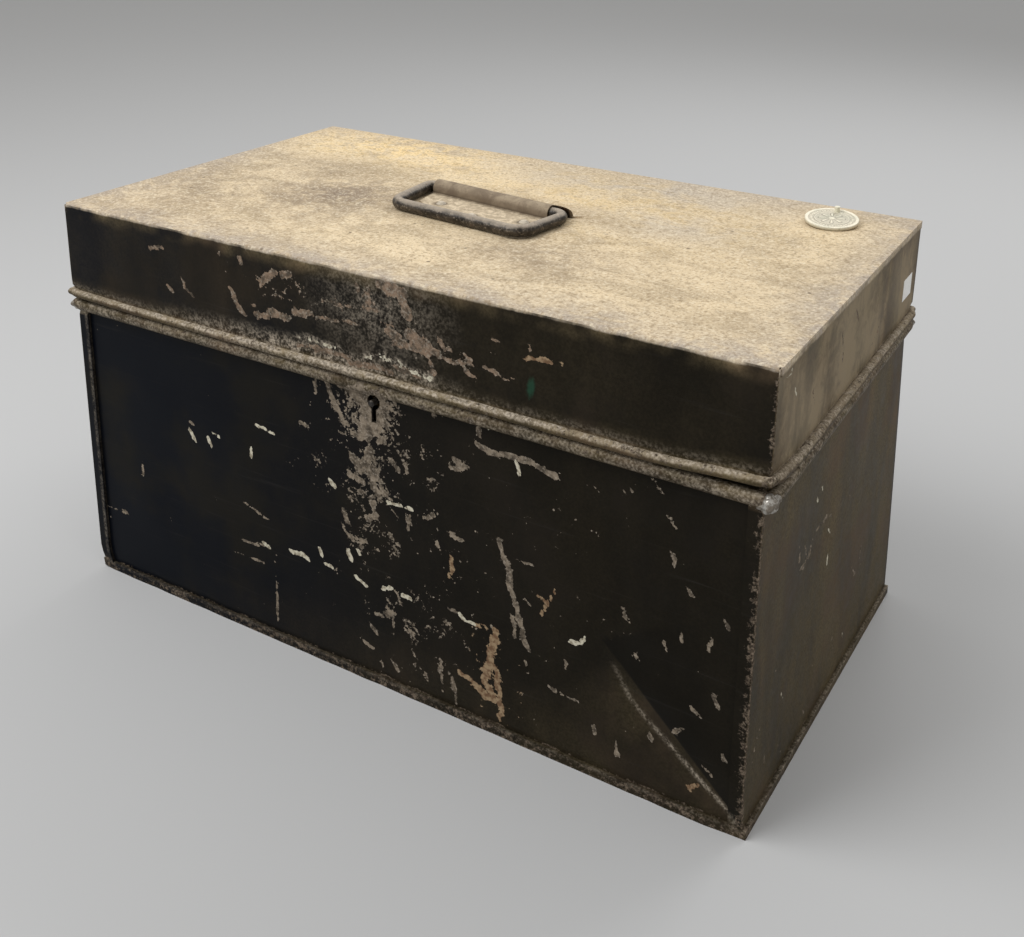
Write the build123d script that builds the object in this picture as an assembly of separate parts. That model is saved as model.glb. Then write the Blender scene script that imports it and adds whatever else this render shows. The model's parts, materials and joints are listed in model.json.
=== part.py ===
"""Japanned sheet-iron deed box with a deep cap lid, a drop handle and a warded lock.

Millimetres.  X runs along the front, the front faces -Y and +Z is up.  The origin is the middle of the
underside, so the box stands on the plane Z = 0.
"""

from build123d import *
import math
import os

# ---- driving dimensions: the box ---------------------------------------------------------------------
SHEET = 0.8              # gauge of the tinned sheet iron
BODY_LENGTH = 501.0      # outside of the body's end walls
BODY_DEPTH = 279.0       # outside of the body's front and back walls
LID_LENGTH = 506.0       # outside of the lid's end walls
LID_DEPTH = 286.0        # outside of the lid's front and back walls
TOTAL_HEIGHT = 284.0     # floor to the top of the lid
RIM_BOTTOM = 217.5       # underside of the lid's wired rim
BEAD_BOTTOM = 208.0      # the lid rests over a swaged bead that runs round the body
BEAD_HEIGHT = 8.0
BEAD_REACH = 6.5         # how far the bead stands out from the wall
NECK_TOP = 240.0         # top edge of the body, inside the lid
SEAM_WIDTH = 7.5         # folded seam strips on the upright corners
FOOT_SEAM = 6.0          # height of the folded seam round the bottom
SEAM_SLACK = 0.1         # air between the hooked edges of a seam
RIM_RADIUS = 2.75        # outside of the sheet rolled round the rim wire
TOP_LAP = 5.0            # strip of the lid's top folded down over each end
LID_BEND = 2.0           # outside bend radius of the lid's top edges

# ---- driving dimensions: the lock --------------------------------------------------------------------
KEY_X = 5.8
KEY_Z = 201.4
KEYHOLE_RADIUS = 4.7
KEYHOLE_SLOT = 3.7       # width of the slot for the bit
KEYHOLE_DROP = 13.5      # from the round's centre to the foot of the slot
POST_RADIUS = 2.1        # drill pin that the hollow key slides on
POST_PROUD = 3.0
LOCK_WIDTH = 78.0
LOCK_BOTTOM = 181.0
LOCK_TOP = 236.0
LOCK_DEPTH = 13.0
LOCK_PLATE = 1.2
BOLT_THROW = 9.0
BOLT_THICK = 3.0
STAPLE_X = 32.0          # where the lid's staple drops into the lock
STAPLE_HALF = 1.25       # half thickness of the staple's loop
BOLT_LOW = 213.5
BOLT_HIGH = 228.5
STUD_RADIUS = 1.5

# ---- driving dimensions: the hinges ------------------------------------------------------------------
HINGE_SPREAD = 300.0     # between the two hinges
HINGE_WIDTH = 26.0
HINGE_GAUGE = 1.5
HINGE_Y = 151.6
HINGE_Z = 216.75
KNUCKLE_RADIUS = 3.2
HINGE_PIN_RADIUS = 1.6
LEAF_END = 41.0          # how far each leaf reaches above or below the pin
HINGE_RIVET = 1.8
HINGE_XS = (-HINGE_SPREAD / 2, HINGE_SPREAD / 2)

# ---- driving dimensions: the handle ------------------------------------------------------------------
HANDLE_X = -7.5
HANDLE_Y = 13.0
HANDLE_TURN = -7.0       # the handle was riveted on a little askew
BAIL_ROD = 4.0
BAIL_REACH = 49.0        # from the pivot to the middle of the grip
STRAP_GAUGE = 1.2
STRAP_HALF = 50.0
FRONT_RIVETS = ((-27.0, -22.0), (7.0, -30.5), (42.0, -19.5))
REAR_RIVETS = ((-40.0, 11.0), (2.0, 11.0), (46.0, 11.0))
HANDLE_RIVET = 1.8

# ---- driving dimensions: the tag and the label -------------------------------------------------------
TAG_X = 201.5
TAG_Y = 100.5
TAG_RADIUS = 17.5
TAG_THICK = 2.0
TAG_TILT = 6.0
TAG_FACING = 16.0        # the low side of the tag, in degrees from -Y towards +X
PEG_RADIUS = 1.7
PEG_AT = (0.0, 13.6)
LABEL_Y = 119.5
LABEL_Z = 244.0

# ---- places worked out from them ---------------------------------------------------------------------
HALF_X = BODY_LENGTH / 2
HALF_Y = BODY_DEPTH / 2
LID_X = LID_LENGTH / 2
LID_Y = LID_DEPTH / 2
SEAM_OUT = 3 * SHEET
RIM_Z = RIM_BOTTOM + RIM_RADIUS
RIM_OUT = RIM_RADIUS - SHEET
FOOT_TOP = FOOT_SEAM
SEAM_TOP = BEAD_BOTTOM - 0.2
LOCK_FRONT = -HALF_Y + SHEET
LOCK_BACK = LOCK_FRONT + LOCK_DEPTH
LOCK_X0 = KEY_X - 36.0
LOCK_X1 = LOCK_X0 + LOCK_WIDTH
BOLT_Y = LOCK_FRONT + 6.3
STAPLE_Y0 = LOCK_FRONT + 2.6
STAPLE_Y1 = STAPLE_Y0 + 7.4
HANDLE_PLACE = Location((HANDLE_X, HANDLE_Y, TOTAL_HEIGHT), (0, 0, HANDLE_TURN))
PIVOT_RISE = BAIL_ROD + 0.4
CUT = 60.0               # reach of the tools that cut a corner or a hole right through


# ---- helpers -----------------------------------------------------------------------------------------
def block(x0, x1, y0, y1, z0, z1):
    """A box between two corners."""
    return Pos((x0 + x1) / 2, (y0 + y1) / 2, (z0 + z1) / 2) * Box(x1 - x0, y1 - y0, z1 - z0)


def ring(half_x, half_y, thick, z0, z1):
    """An upright rectangular wall: outer half sizes, thickness and height."""
    outer = block(-half_x, half_x, -half_y, half_y, z0, z1)
    inner = block(-half_x + thick, half_x - thick, -half_y + thick, half_y - thick, z0 - 1, z1 + 1)
    return outer - inner


def ribbon(points, width=SHEET):
    """Section through a folded sheet: a strip of the given width along a line, with mitred folds."""
    near = []
    far = []
    steps = [Vector(*b) - Vector(*a) for a, b in zip(points, points[1:])]
    normals = [Vector(-s.Y, s.X).normalized() for s in steps]
    for i, point in enumerate(points):
        before = normals[max(i - 1, 0)]
        after = normals[min(i, len(normals) - 1)]
        shift = (before + after) * (width / 2 / (1 + before.dot(after)))
        near.append(Vector(*point) + shift)
        far.append(Vector(*point) - shift)
    return make_face(Polyline(*near, *reversed(far), close=True))


def along_x(section, x0, x1):
    """Extrudes a Y-Z section from x0 to x1."""
    return extrude(Plane.YZ.offset(x0) * section, amount=x1 - x0)


def corner_prism(half_x, half_y, z0, z1):
    """The front quarter of the box, cut off by planes at 45 degrees through its upright corners."""
    reach = 20.0
    inset = 40.0
    outline = Polyline(
        (-half_x - reach, -half_y - reach),
        (half_x + reach, -half_y - reach),
        (half_x - inset, -half_y + inset),
        (-half_x + inset, -half_y + inset),
        close=True,
    )
    return extrude(Pos(0, 0, z0) * make_face(outline), amount=z1 - z0)


def side_prism(half_x, half_y, z0, z1):
    """What corner_prism does, for the right-hand end."""
    reach = 20.0
    inset = 40.0
    outline = Polyline(
        (half_x + reach, -half_y - reach),
        (half_x + reach, half_y + reach),
        (half_x - inset, half_y - inset),
        (half_x - inset, -half_y + inset),
        close=True,
    )
    return extrude(Pos(0, 0, z0) * make_face(outline), amount=z1 - z0)


def mirrored(shape, plane):
    return mirror(shape, about=plane)


def domed_rivet(radius, head, grip, tail=0.9):
    """A rivet along Z: domed head above Z = 0, shank down through the grip, clenched tail below it."""
    rise = head * 0.45
    half = [
        (0, rise),
        (0.55 * head, 0.8 * rise),
        (head, 0),
        (radius, 0),
        (radius, -grip),
        (1.5 * radius, -grip - tail),
        (0, -grip - tail),
    ]
    return revolve(Plane.XZ * make_face(Polyline(*half, close=True)), Axis.Z)


# ---- the body: walls that hook together at folded seams ----------------------------------------------
def bead_block(inset):
    """Solid outline of the neck and of the half-round bead, drawn in by inset on every side."""
    half_x = HALF_X - inset
    half_y = HALF_Y - inset
    neck = block(-half_x, half_x, -half_y, half_y, SEAM_TOP, NECK_TOP)
    wide_x = half_x + BEAD_REACH
    wide_y = half_y + BEAD_REACH
    low = BEAD_BOTTOM + inset
    high = BEAD_BOTTOM + BEAD_HEIGHT - inset
    bead = block(-wide_x, wide_x, -wide_y, wide_y, low, high)
    level_edges = bead.edges().filter_by(Axis.Z, reverse=True)
    return neck + fillet(level_edges, (high - low) / 2 - 0.05)


def collar():
    """The swaged bead and the neck that the lid slides over, as one skin of sheet."""
    inner_x = HALF_X - SHEET
    inner_y = HALF_Y - SHEET
    well = block(-inner_x, inner_x, -inner_y, inner_y, SEAM_TOP - 1, NECK_TOP + 1)
    return bead_block(0) - bead_block(SHEET) - well


def foot_hook():
    """The walls' lower edges: turned out and up, ready to hook into the bottom's folded rim."""
    wall = ring(HALF_X, HALF_Y, SHEET, SHEET, FOOT_TOP + 1)
    step = ring(HALF_X + 2 * SHEET, HALF_Y + 2 * SHEET, 3 * SHEET, SHEET, 2 * SHEET)
    hook = ring(HALF_X + 2 * SHEET, HALF_Y + 2 * SHEET, SHEET, SHEET, FOOT_TOP - SHEET - SEAM_SLACK)
    return wall + step + hook


def front_wall_section():
    """Plan of the front wall: its two edges are turned outwards and back on themselves."""
    face_y = -HALF_Y + SHEET / 2
    hook_y = face_y - 2 * SHEET
    riser_x = HALF_X - 1.5 * SHEET
    tip_x = HALF_X - SEAM_WIDTH + SEAM_SLACK
    right = [(riser_x, face_y), (riser_x, hook_y), (tip_x, hook_y)]
    left = [(-x, y) for x, y in reversed(right)]
    return ribbon(left + right)


def end_wall_section():
    """Plan of the right-hand end wall: each edge wraps the corner, covers the hook and tucks under it."""
    face_x = HALF_X - SHEET / 2
    cover_y = -HALF_Y - 2.5 * SHEET
    lip_y = -HALF_Y - 0.5 * SHEET
    turn_x = HALF_X - SEAM_WIDTH - SHEET / 2
    lip_x = HALF_X - 2 * SHEET - SEAM_SLACK
    front = [(lip_x, lip_y), (turn_x, lip_y), (turn_x, cover_y), (face_x, cover_y)]
    back = [(x, -y) for x, y in reversed(front)]
    return ribbon(front + back)


def upright(section):
    """The straight stretch of a wall, between the foot seam and the bead."""
    return extrude(Pos(0, 0, FOOT_TOP) * section, amount=SEAM_TOP - FOOT_TOP)


def long_wall():
    """The front wall before the keyhole is cut."""
    band = foot_hook() & corner_prism(HALF_X, HALF_Y, 0, FOOT_TOP)
    top = collar() & corner_prism(HALF_X, HALF_Y, SEAM_TOP, NECK_TOP)
    return band + upright(front_wall_section()) + top


def end_wall():
    """The right-hand end wall."""
    band = foot_hook() & side_prism(HALF_X, HALF_Y, 0, FOOT_TOP)
    top = collar() & side_prism(HALF_X, HALF_Y, SEAM_TOP, NECK_TOP)
    return band + upright(end_wall_section()) + top


def keyhole(depth):
    """Cutter for the keyhole, running back from the outside of the front wall."""
    start = Plane.XZ.offset(HALF_Y + 5)
    slot = Pos(KEY_X, KEY_Z - KEYHOLE_DROP / 2) * Rectangle(KEYHOLE_SLOT, KEYHOLE_DROP)
    outline = Pos(KEY_X, KEY_Z) * Circle(KEYHOLE_RADIUS) + slot
    return extrude(start * outline, amount=-(depth + 5))


def bottom_panel():
    """The bottom: a plate whose rim folds up over the walls' hooks and down again inside them."""
    out_x = HALF_X + SEAM_OUT
    out_y = HALF_Y + SEAM_OUT
    plate = block(-out_x, out_x, -out_y, out_y, 0, SHEET)
    cover = ring(out_x, out_y, SHEET, 0, FOOT_TOP)
    fold = ring(out_x, out_y, SEAM_OUT, FOOT_TOP - SHEET, FOOT_TOP)
    lip = ring(HALF_X + SHEET, HALF_Y + SHEET, SHEET, 2 * SHEET + SEAM_SLACK, FOOT_TOP)
    return plate + cover + fold + lip


def bead_solder():
    """The four lumps of solder that close the bead's corners."""
    lump_radius = 4.7
    seam_x = HALF_X + 0.05
    seam_y = HALF_Y + SEAM_OUT + 0.05
    core = bead_block(0) + block(-seam_x, seam_x, -seam_y, seam_y, FOOT_TOP, BEAD_BOTTOM + 1)
    inset = 2.55
    x = HALF_X + BEAD_REACH - inset
    y = HALF_Y + BEAD_REACH - inset
    lump = Pos(x, y, BEAD_BOTTOM + BEAD_HEIGHT / 2 - 0.3) * Sphere(lump_radius) - core
    pair = [lump, mirrored(lump, Plane.XZ)]
    return Compound(pair + [mirrored(one, Plane.YZ) for one in pair])


# ---- the lid -----------------------------------------------------------------------------------------
def rim_roll(half, run):
    """Sheet curled outwards round the rim wire along the front: a tube at Y = -half, run long."""
    centre_y = -half + SHEET - RIM_RADIUS
    tube = Circle(RIM_RADIUS) - Circle(RIM_OUT)
    return along_x(Pos(centre_y, RIM_Z) * tube, -run, run)


def lid_sheet():
    """Front, top and back of the lid in one bent sheet, with a strip lapped down over each end."""
    outline = Rectangle(LID_DEPTH, TOTAL_HEIGHT - RIM_Z, align=(Align.CENTER, Align.MIN))
    outline = Pos(0, RIM_Z) * outline
    outline = fillet(outline.vertices().group_by(Axis.Y)[-1], LID_BEND)
    hollow = Rectangle(LID_DEPTH - 2 * SHEET, TOTAL_HEIGHT - SHEET - RIM_Z, align=(Align.CENTER, Align.MIN))
    hollow = Pos(0, RIM_Z) * hollow
    hollow = fillet(hollow.vertices().group_by(Axis.Y)[-1], LID_BEND - SHEET)
    shell = along_x(outline - hollow, -LID_X + SHEET, LID_X - SHEET)
    flat = LID_Y - LID_BEND
    top = block(-LID_X - SHEET, LID_X + SHEET, -flat, flat, TOTAL_HEIGHT - SHEET, TOTAL_HEIGHT)
    lap = block(LID_X, LID_X + SHEET, -flat, flat, TOTAL_HEIGHT - TOP_LAP, TOTAL_HEIGHT)
    roll = rim_roll(LID_Y, LID_X + 3 * RIM_RADIUS) & corner_prism(LID_X, LID_Y, 0, TOTAL_HEIGHT)
    walls = shell + top + lap + mirrored(lap, Plane.YZ)
    return walls + roll + mirrored(roll, Plane.XZ)


def lid_end():
    """Right-hand end of the lid: a plate with upright edges turned in behind the front and the back."""
    rim_top = RIM_Z + RIM_RADIUS
    flange_y = -LID_Y + SHEET
    plate = block(LID_X - SHEET, LID_X, -LID_Y, LID_Y, rim_top, TOTAL_HEIGHT - SHEET)
    foot = block(LID_X - SHEET, LID_X, -LID_Y, LID_Y, RIM_Z, rim_top)
    flange = block(LID_X - 9, LID_X - SHEET, flange_y, flange_y + SHEET, rim_top, TOTAL_HEIGHT - LID_BEND)
    length = LID_DEPTH + 2 * CUT
    tube = Cylinder(RIM_RADIUS, length) - Cylinder(RIM_OUT, length)
    roll = Pos(LID_X - SHEET + RIM_RADIUS, 0, RIM_Z) * Rot(90, 0, 0) * tube
    mitred = (foot + roll) & side_prism(LID_X, LID_Y, 0, TOTAL_HEIGHT)
    return plate + flange + mirrored(flange, Plane.XZ) + mitred


def lid_wire():
    """The iron wire inside the rolled rim, bent round all four sides."""
    wire_radius = RIM_OUT - 0.05
    x = LID_X - SHEET + RIM_RADIUS
    y = LID_Y - SHEET + RIM_RADIUS
    long_bar = Pos(0, -y, RIM_Z) * Rot(0, 90, 0) * Cylinder(wire_radius, 2 * LID_X + 2 * CUT)
    short_bar = Pos(x, 0, RIM_Z) * Rot(90, 0, 0) * Cylinder(wire_radius, 2 * LID_Y + 2 * CUT)
    front = long_bar & corner_prism(LID_X, LID_Y, 0, TOTAL_HEIGHT)
    end = short_bar & side_prism(LID_X, LID_Y, 0, TOTAL_HEIGHT)
    return front + mirrored(front, Plane.XZ) + end + mirrored(end, Plane.YZ)


# ---- the hinges --------------------------------------------------------------------------------------
def hinge_leaf(wall_y, direction):
    """A strap leaf about the pin at Y = Z = 0, cranked over the rim or the bead to the wall behind it."""
    inner = -KNUCKLE_RADIUS + HINGE_GAUGE / 2
    flat = wall_y - HINGE_Y + HINGE_GAUGE / 2
    crank_start = 9.5
    crank_end = 16.0
    points = [(inner, 0), (inner, crank_start), (flat, crank_end), (flat, LEAF_END)]
    points = [(y, direction * z) for y, z in points]
    strap = along_x(ribbon(points, HINGE_GAUGE), -HINGE_WIDTH / 2, HINGE_WIDTH / 2)
    corners = strap.edges().filter_by(Axis.Y).sort_by(Axis.Z)
    tips = corners[-2:] if direction > 0 else corners[:2]
    return fillet(tips, 5)


def knuckles(spans):
    """Knuckles of one leaf, before the bore."""
    return [along_x(Circle(KNUCKLE_RADIUS), x0, x1) for x0, x1 in spans]


def hinge_lid_leaf(x):
    """Leaf on the lid: one knuckle in the middle."""
    half = HINGE_WIDTH / 2
    third = 4.6
    leaf = hinge_leaf(LID_Y, 1)
    for x0, x1 in ((-half - 1, -third), (third, half + 1)):
        leaf -= block(x0, x1, -2 * KNUCKLE_RADIUS, 2 * KNUCKLE_RADIUS, -5, KNUCKLE_RADIUS + 0.5)
    bore = along_x(Circle(HINGE_PIN_RADIUS), -CUT, CUT)
    for tube in knuckles([(-third, third)]):
        leaf += tube
    return Pos(x, HINGE_Y, HINGE_Z) * (leaf - bore)


def hinge_body_leaf(x):
    """Leaf on the body: two knuckles, one each side of the lid leaf's."""
    half = HINGE_WIDTH / 2
    third = 5.0
    leaf = hinge_leaf(HALF_Y, -1)
    leaf -= block(-third, third, -2 * KNUCKLE_RADIUS, 2 * KNUCKLE_RADIUS, -KNUCKLE_RADIUS - 0.5, 5)
    bore = along_x(Circle(HINGE_PIN_RADIUS + 0.3), -CUT, CUT)
    for tube in knuckles([(-half, -third), (third, half)]):
        leaf += tube
    return Pos(x, HINGE_Y, HINGE_Z) * (leaf - bore)


def hinge_pin(x):
    """The pin, held by its headed ends."""
    length = HINGE_WIDTH + 1.2
    pin = Rot(0, 90, 0) * Cylinder(HINGE_PIN_RADIUS, length)
    head = Rot(0, 90, 0) * Cylinder(HINGE_PIN_RADIUS + 0.8, 0.8)
    ends = Pos(length / 2, 0, 0) * head + Pos(-length / 2, 0, 0) * head
    return Pos(x, HINGE_Y, HINGE_Z) * (pin + ends)


def leaf_rivet_places(direction):
    """Three rivets in a leaf: two side by side near the crank and one at its end."""
    near = HINGE_Z + direction * 22.0
    far = HINGE_Z + direction * 34.0
    return [(-7.5, near), (7.5, near), (0, far)]


def hinge_rivets(wall_y, direction):
    """Every rivet of the leaves on one body, as separate solids."""
    grip = HINGE_GAUGE + SHEET
    rivet = Rot(-90, 0, 0) * domed_rivet(HINGE_RIVET, 3.2, grip)
    made = []
    for hinge_x in HINGE_XS:
        for x, z in leaf_rivet_places(direction):
            made.append(Pos(hinge_x + x, wall_y + HINGE_GAUGE, z) * rivet)
    return Compound(made)


def rivet_holes(wall_y, direction):
    """Cutters for those rivets, through leaf and wall."""
    hole = Rot(90, 0, 0) * Cylinder(HINGE_RIVET, 12)
    made = []
    for hinge_x in HINGE_XS:
        for x, z in leaf_rivet_places(direction):
            made.append(Pos(hinge_x + x, wall_y, z) * hole)
    return Compound(made)


# ---- the lock ----------------------------------------------------------------------------------------
def staple_slot():
    """Cutter for the slot in the lock's top that the staple drops through."""
    return block(STAPLE_X - 3, STAPLE_X + 3, STAPLE_Y0 - 1.2, STAPLE_Y1 + 1.5, LOCK_TOP - 5, LOCK_TOP + 5)


def lock_plate():
    """Front plate of the lock, sweated to the inside of the front wall, with its own keyhole."""
    plate = block(LOCK_X0, LOCK_X1, LOCK_FRONT, LOCK_FRONT + LOCK_PLATE, LOCK_BOTTOM, LOCK_TOP)
    return plate - keyhole(20)


def lock_case():
    """Back of the lock: a tray of sheet that closes over the works, slotted above for the staple."""
    outer = block(LOCK_X0, LOCK_X1, LOCK_FRONT + LOCK_PLATE, LOCK_BACK, LOCK_BOTTOM, LOCK_TOP)
    back_edges = outer.edges().group_by(Axis.Y)[-1]
    outer = fillet(back_edges, 1.6)
    inner = block(
        LOCK_X0 + LOCK_PLATE,
        LOCK_X1 - LOCK_PLATE,
        LOCK_FRONT,
        LOCK_BACK - LOCK_PLATE,
        LOCK_BOTTOM + LOCK_PLATE,
        LOCK_TOP - LOCK_PLATE,
    )
    post_hole = Pos(KEY_X, LOCK_BACK, KEY_Z) * Rot(90, 0, 0) * Cylinder(POST_RADIUS, 8)
    return outer - inner - staple_slot() - post_hole


def key_post():
    """Drill pin riveted into the case, standing out through the keyhole."""
    front = -HALF_Y - POST_PROUD
    length = LOCK_BACK - front
    middle = (LOCK_BACK + front) / 2
    pin = Pos(KEY_X, middle, KEY_Z) * Rot(90, 0, 0) * Cylinder(POST_RADIUS, length)
    tip = pin.edges().group_by(Axis.Y)[0]
    collar_y = LOCK_BACK - LOCK_PLATE - 0.6
    shoulder = Pos(KEY_X, collar_y, KEY_Z) * Rot(90, 0, 0) * Cylinder(POST_RADIUS + 1.4, 1.2)
    return chamfer(tip, 0.7) + shoulder


def ward_rings():
    """Two ring wards round the post that only a matching bit turns past."""
    made = []
    for radius, height in ((6.2, 3.2), (9.0, 2.2)):
        tube = Cylinder(radius + 0.5, height) - Cylinder(radius - 0.5, height + 1)
        gap = Pos(0, -radius, 0) * Box(KEYHOLE_SLOT + 1.2, 2 * radius, height + 1)
        y = LOCK_BACK - LOCK_PLATE - height / 2
        made.append(Pos(KEY_X, y, KEY_Z) * Rot(90, 0, 0) * (tube - gap))
    return Compound(made)


def lock_bolt():
    """Sliding bolt: a head that shoots through the staple and a talon that the key's bit drives."""
    y0 = BOLT_Y - BOLT_THICK / 2
    y1 = BOLT_Y + BOLT_THICK / 2
    tail_x = KEY_X - 30.0
    shoulder_x = STAPLE_X - 16.0
    head_x = STAPLE_X - STAPLE_HALF - 1.6
    tail = block(tail_x, shoulder_x, y0, y1, BOLT_LOW, BOLT_HIGH)
    head = block(shoulder_x, head_x, y0, y1, BOLT_LOW + 9.5, BOLT_HIGH - 1.5)
    talon = Pos(KEY_X, BOLT_Y, BOLT_LOW) * Rot(90, 0, 0) * Cylinder(5.5, BOLT_THICK + 2)
    bolt = tail + head - talon
    for x in stud_places():
        bolt -= guide_slot(x)
    for x in (tail_x + 3.5, tail_x + 3.5 + BOLT_THROW):
        bolt -= Pos(x, BOLT_Y, BOLT_HIGH) * Rot(90, 0, 0) * Cylinder(1.6, BOLT_THICK + 2)
    return bolt


def stud_places():
    """The studs that the bolt slides on."""
    return (KEY_X - 13.5, KEY_X + 5.5)


def guide_slot(x):
    """Cutter for the slot that slides over one stud."""
    clearance = 0.3
    run = BOLT_THROW
    wide = 2 * (STUD_RADIUS + clearance)
    z = BOLT_HIGH - 5.0
    slot = block(x - run, x, BOLT_Y - 5, BOLT_Y + 5, z - wide / 2, z + wide / 2)
    ends = [Pos(end, BOLT_Y, z) * Rot(90, 0, 0) * Cylinder(wide / 2, 10) for end in (x - run, x)]
    return slot + ends[0] + ends[1]


def bolt_studs():
    """Two studs between the lock's plate and its case."""
    y0 = LOCK_FRONT + LOCK_PLATE
    y1 = LOCK_BACK - LOCK_PLATE
    stud = Rot(90, 0, 0) * Cylinder(STUD_RADIUS, y1 - y0)
    return Compound([Pos(x, (y0 + y1) / 2, BOLT_HIGH - 5.0) * stud for x in stud_places()])


def bolt_spring():
    """Bent leaf spring above the bolt; its nose drops into one of two notches."""
    nose_x = KEY_X - 30.0 + 3.5 + BOLT_THROW
    top_z = LOCK_TOP - LOCK_PLATE
    nose_z = BOLT_HIGH + 0.9
    points = [
        (nose_x - 2.2, nose_z + 2.6),
        (nose_x, nose_z),
        (nose_x + 2.2, nose_z + 2.6),
        (KEY_X - 2, top_z - 0.3),
        (KEY_X + 10, top_z - 0.3),
    ]
    section = ribbon(points, 0.6)
    return extrude(Plane.XZ.offset(-BOLT_Y - BOLT_THICK / 2) * section, amount=BOLT_THICK)


def lock_staple():
    """Link plate sweated inside the lid's front, with a loop that reaches over the neck into the lock."""
    inside = -LID_Y + SHEET
    plate = block(STAPLE_X - 20, STAPLE_X + 20, inside, inside + 1.3, NECK_TOP + 4, NECK_TOP + 24)
    plate = fillet(plate.edges().filter_by(Axis.Y), 3)
    low = BOLT_LOW + 6.5
    left = STAPLE_X - STAPLE_HALF
    right = STAPLE_X + STAPLE_HALF
    arm = block(left, right, inside, STAPLE_Y1, NECK_TOP + 4, NECK_TOP + 12)
    leg = block(left, right, STAPLE_Y0, STAPLE_Y1, low, NECK_TOP + 12)
    leg = fillet(leg.edges().filter_by(Axis.X).group_by(Axis.Z)[0], 2.5)
    eye = block(STAPLE_X - 5, STAPLE_X + 5, BOLT_Y - 2.3, BOLT_Y + 2.3, BOLT_LOW + 8.2, BOLT_HIGH - 0.2)
    return plate + arm + leg - eye


# ---- the handle, in its own frame: X along the pivot, Z = 0 on the lid's top ---------------------------
def strap_outline():
    """Plan of the strap: a bowed front edge, splayed towards the back on the right."""
    leg = PIVOT_RISE + STRAP_GAUGE
    front_left = (-43.0, -26.0)
    front_right = (47.0, -25.0)
    edge = ThreePointArc(front_left, (3.0, -37.0), front_right)
    sides = Polyline(
        front_right,
        (STRAP_HALF, -leg),
        (STRAP_HALF, 1.0),
        (STRAP_HALF + 9, leg),
        (STRAP_HALF + 13, 16.0),
        (-STRAP_HALF - 4, 16.0),
        (-STRAP_HALF, leg),
        (1 - STRAP_HALF, 1.0),
        (1 - STRAP_HALF, -leg),
        front_left,
    )
    return make_face(edge + sides)


def handle_strap():
    """Sheet strap pressed into a tunnel for the bail's ends between two riveted flanges."""
    out = PIVOT_RISE + STRAP_GAUGE
    half_rise = PIVOT_RISE / 2
    arch = Pos(0, PIVOT_RISE) * Circle(out) + Pos(0, half_rise) * Rectangle(2 * out, PIVOT_RISE)
    tunnel = Pos(0, PIVOT_RISE) * Circle(PIVOT_RISE)
    tunnel += Pos(0, half_rise) * Rectangle(2 * PIVOT_RISE, PIVOT_RISE)
    flanges = Pos(-10, STRAP_GAUGE / 2) * Rectangle(70, STRAP_GAUGE)
    section = (arch + flanges - tunnel) & Pos(-10, 20) * Rectangle(80, 40)
    strap = along_x(section, -80, 80) & extrude(strap_outline(), amount=20)
    for x, y in FRONT_RIVETS + REAR_RIVETS:
        strap -= Pos(x, y, 0) * Cylinder(HANDLE_RIVET, 10)
    return HANDLE_PLACE * strap


def handle_rivets():
    """Six rivets through the strap's flanges and the lid's top."""
    rivet = domed_rivet(HANDLE_RIVET, 3.4, STRAP_GAUGE + SHEET)
    places = FRONT_RIVETS + REAR_RIVETS
    return Compound([HANDLE_PLACE * Pos(x, y, STRAP_GAUGE) * rivet for x, y in places])


def handle_holes():
    """Cutters for those rivets through the lid's top."""
    places = FRONT_RIVETS + REAR_RIVETS
    return Compound([HANDLE_PLACE * Pos(x, y, 0) * Cylinder(HANDLE_RIVET, 10) for x, y in places])


def handle_bail():
    """Round-rod bail lying flat towards the front, its ends turned into the strap's tunnel."""
    corners = [
        (-40.0, 0),
        (-56.0, 0),
        (-45.5, -BAIL_REACH),
        (61.0, 2 - BAIL_REACH),
        (61.5, 0),
        (45.0, 0),
    ]
    line = FilletPolyline(*corners, radius=[5.5, 11.0, 11.0, 8.0])
    path = Pos(0, 0, PIVOT_RISE) * line
    end = Plane(origin=path @ 0, z_dir=path % 0)
    rod = sweep(end * Circle(BAIL_ROD), path=path)
    return HANDLE_PLACE * rod


# ---- the tag and the label ---------------------------------------------------------------------------
def tag_place():
    """The tag leans on its front edge and is held up behind by its peg."""
    lift = TAG_RADIUS * math.sin(math.radians(TAG_TILT)) + 0.05
    return Location((TAG_X, TAG_Y, TOTAL_HEIGHT + lift)) * Rot(0, 0, TAG_FACING) * Rot(TAG_TILT, 0, 0)


def tag_disc():
    """Cast disc with a raised rim, a raised ring and a boss in the middle."""
    half = [
        (0, 0),
        (TAG_RADIUS, 0),
        (TAG_RADIUS, TAG_THICK),
        (TAG_RADIUS - 1.4, TAG_THICK),
        (TAG_RADIUS - 1.8, TAG_THICK - 0.6),
        (11.6, TAG_THICK - 0.6),
        (11.2, TAG_THICK),
        (10.4, TAG_THICK),
        (10.0, TAG_THICK - 0.6),
        (0, TAG_THICK - 0.6),
    ]
    section = make_face(Polyline(*half, close=True))
    disc = revolve(Plane.XZ * section, Axis.Z)
    disc -= Pos(*PEG_AT, 0) * Cylinder(PEG_RADIUS, 10)
    return tag_place() * disc


def tag_peg():
    """Square-cut peg through the tag's upper edge, soldered to the lid."""
    top = TAG_THICK + 3.2
    peg = Pos(*PEG_AT, top / 2 - 1.3) * Cylinder(PEG_RADIUS, top + 2.6)
    placed = tag_place() * peg
    below = block(TAG_X - 40, TAG_X + 40, TAG_Y - 40, TAG_Y + 40, TOTAL_HEIGHT - 30, TOTAL_HEIGHT)
    return placed - below


def paper_label():
    """Small blank paper label pasted on the lid's right-hand end."""
    thick = 0.25
    slip = block(LID_X, LID_X + thick, LABEL_Y - 10.5, LABEL_Y + 10.5, LABEL_Z - 7.2, LABEL_Z + 7.2)
    return slip


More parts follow.
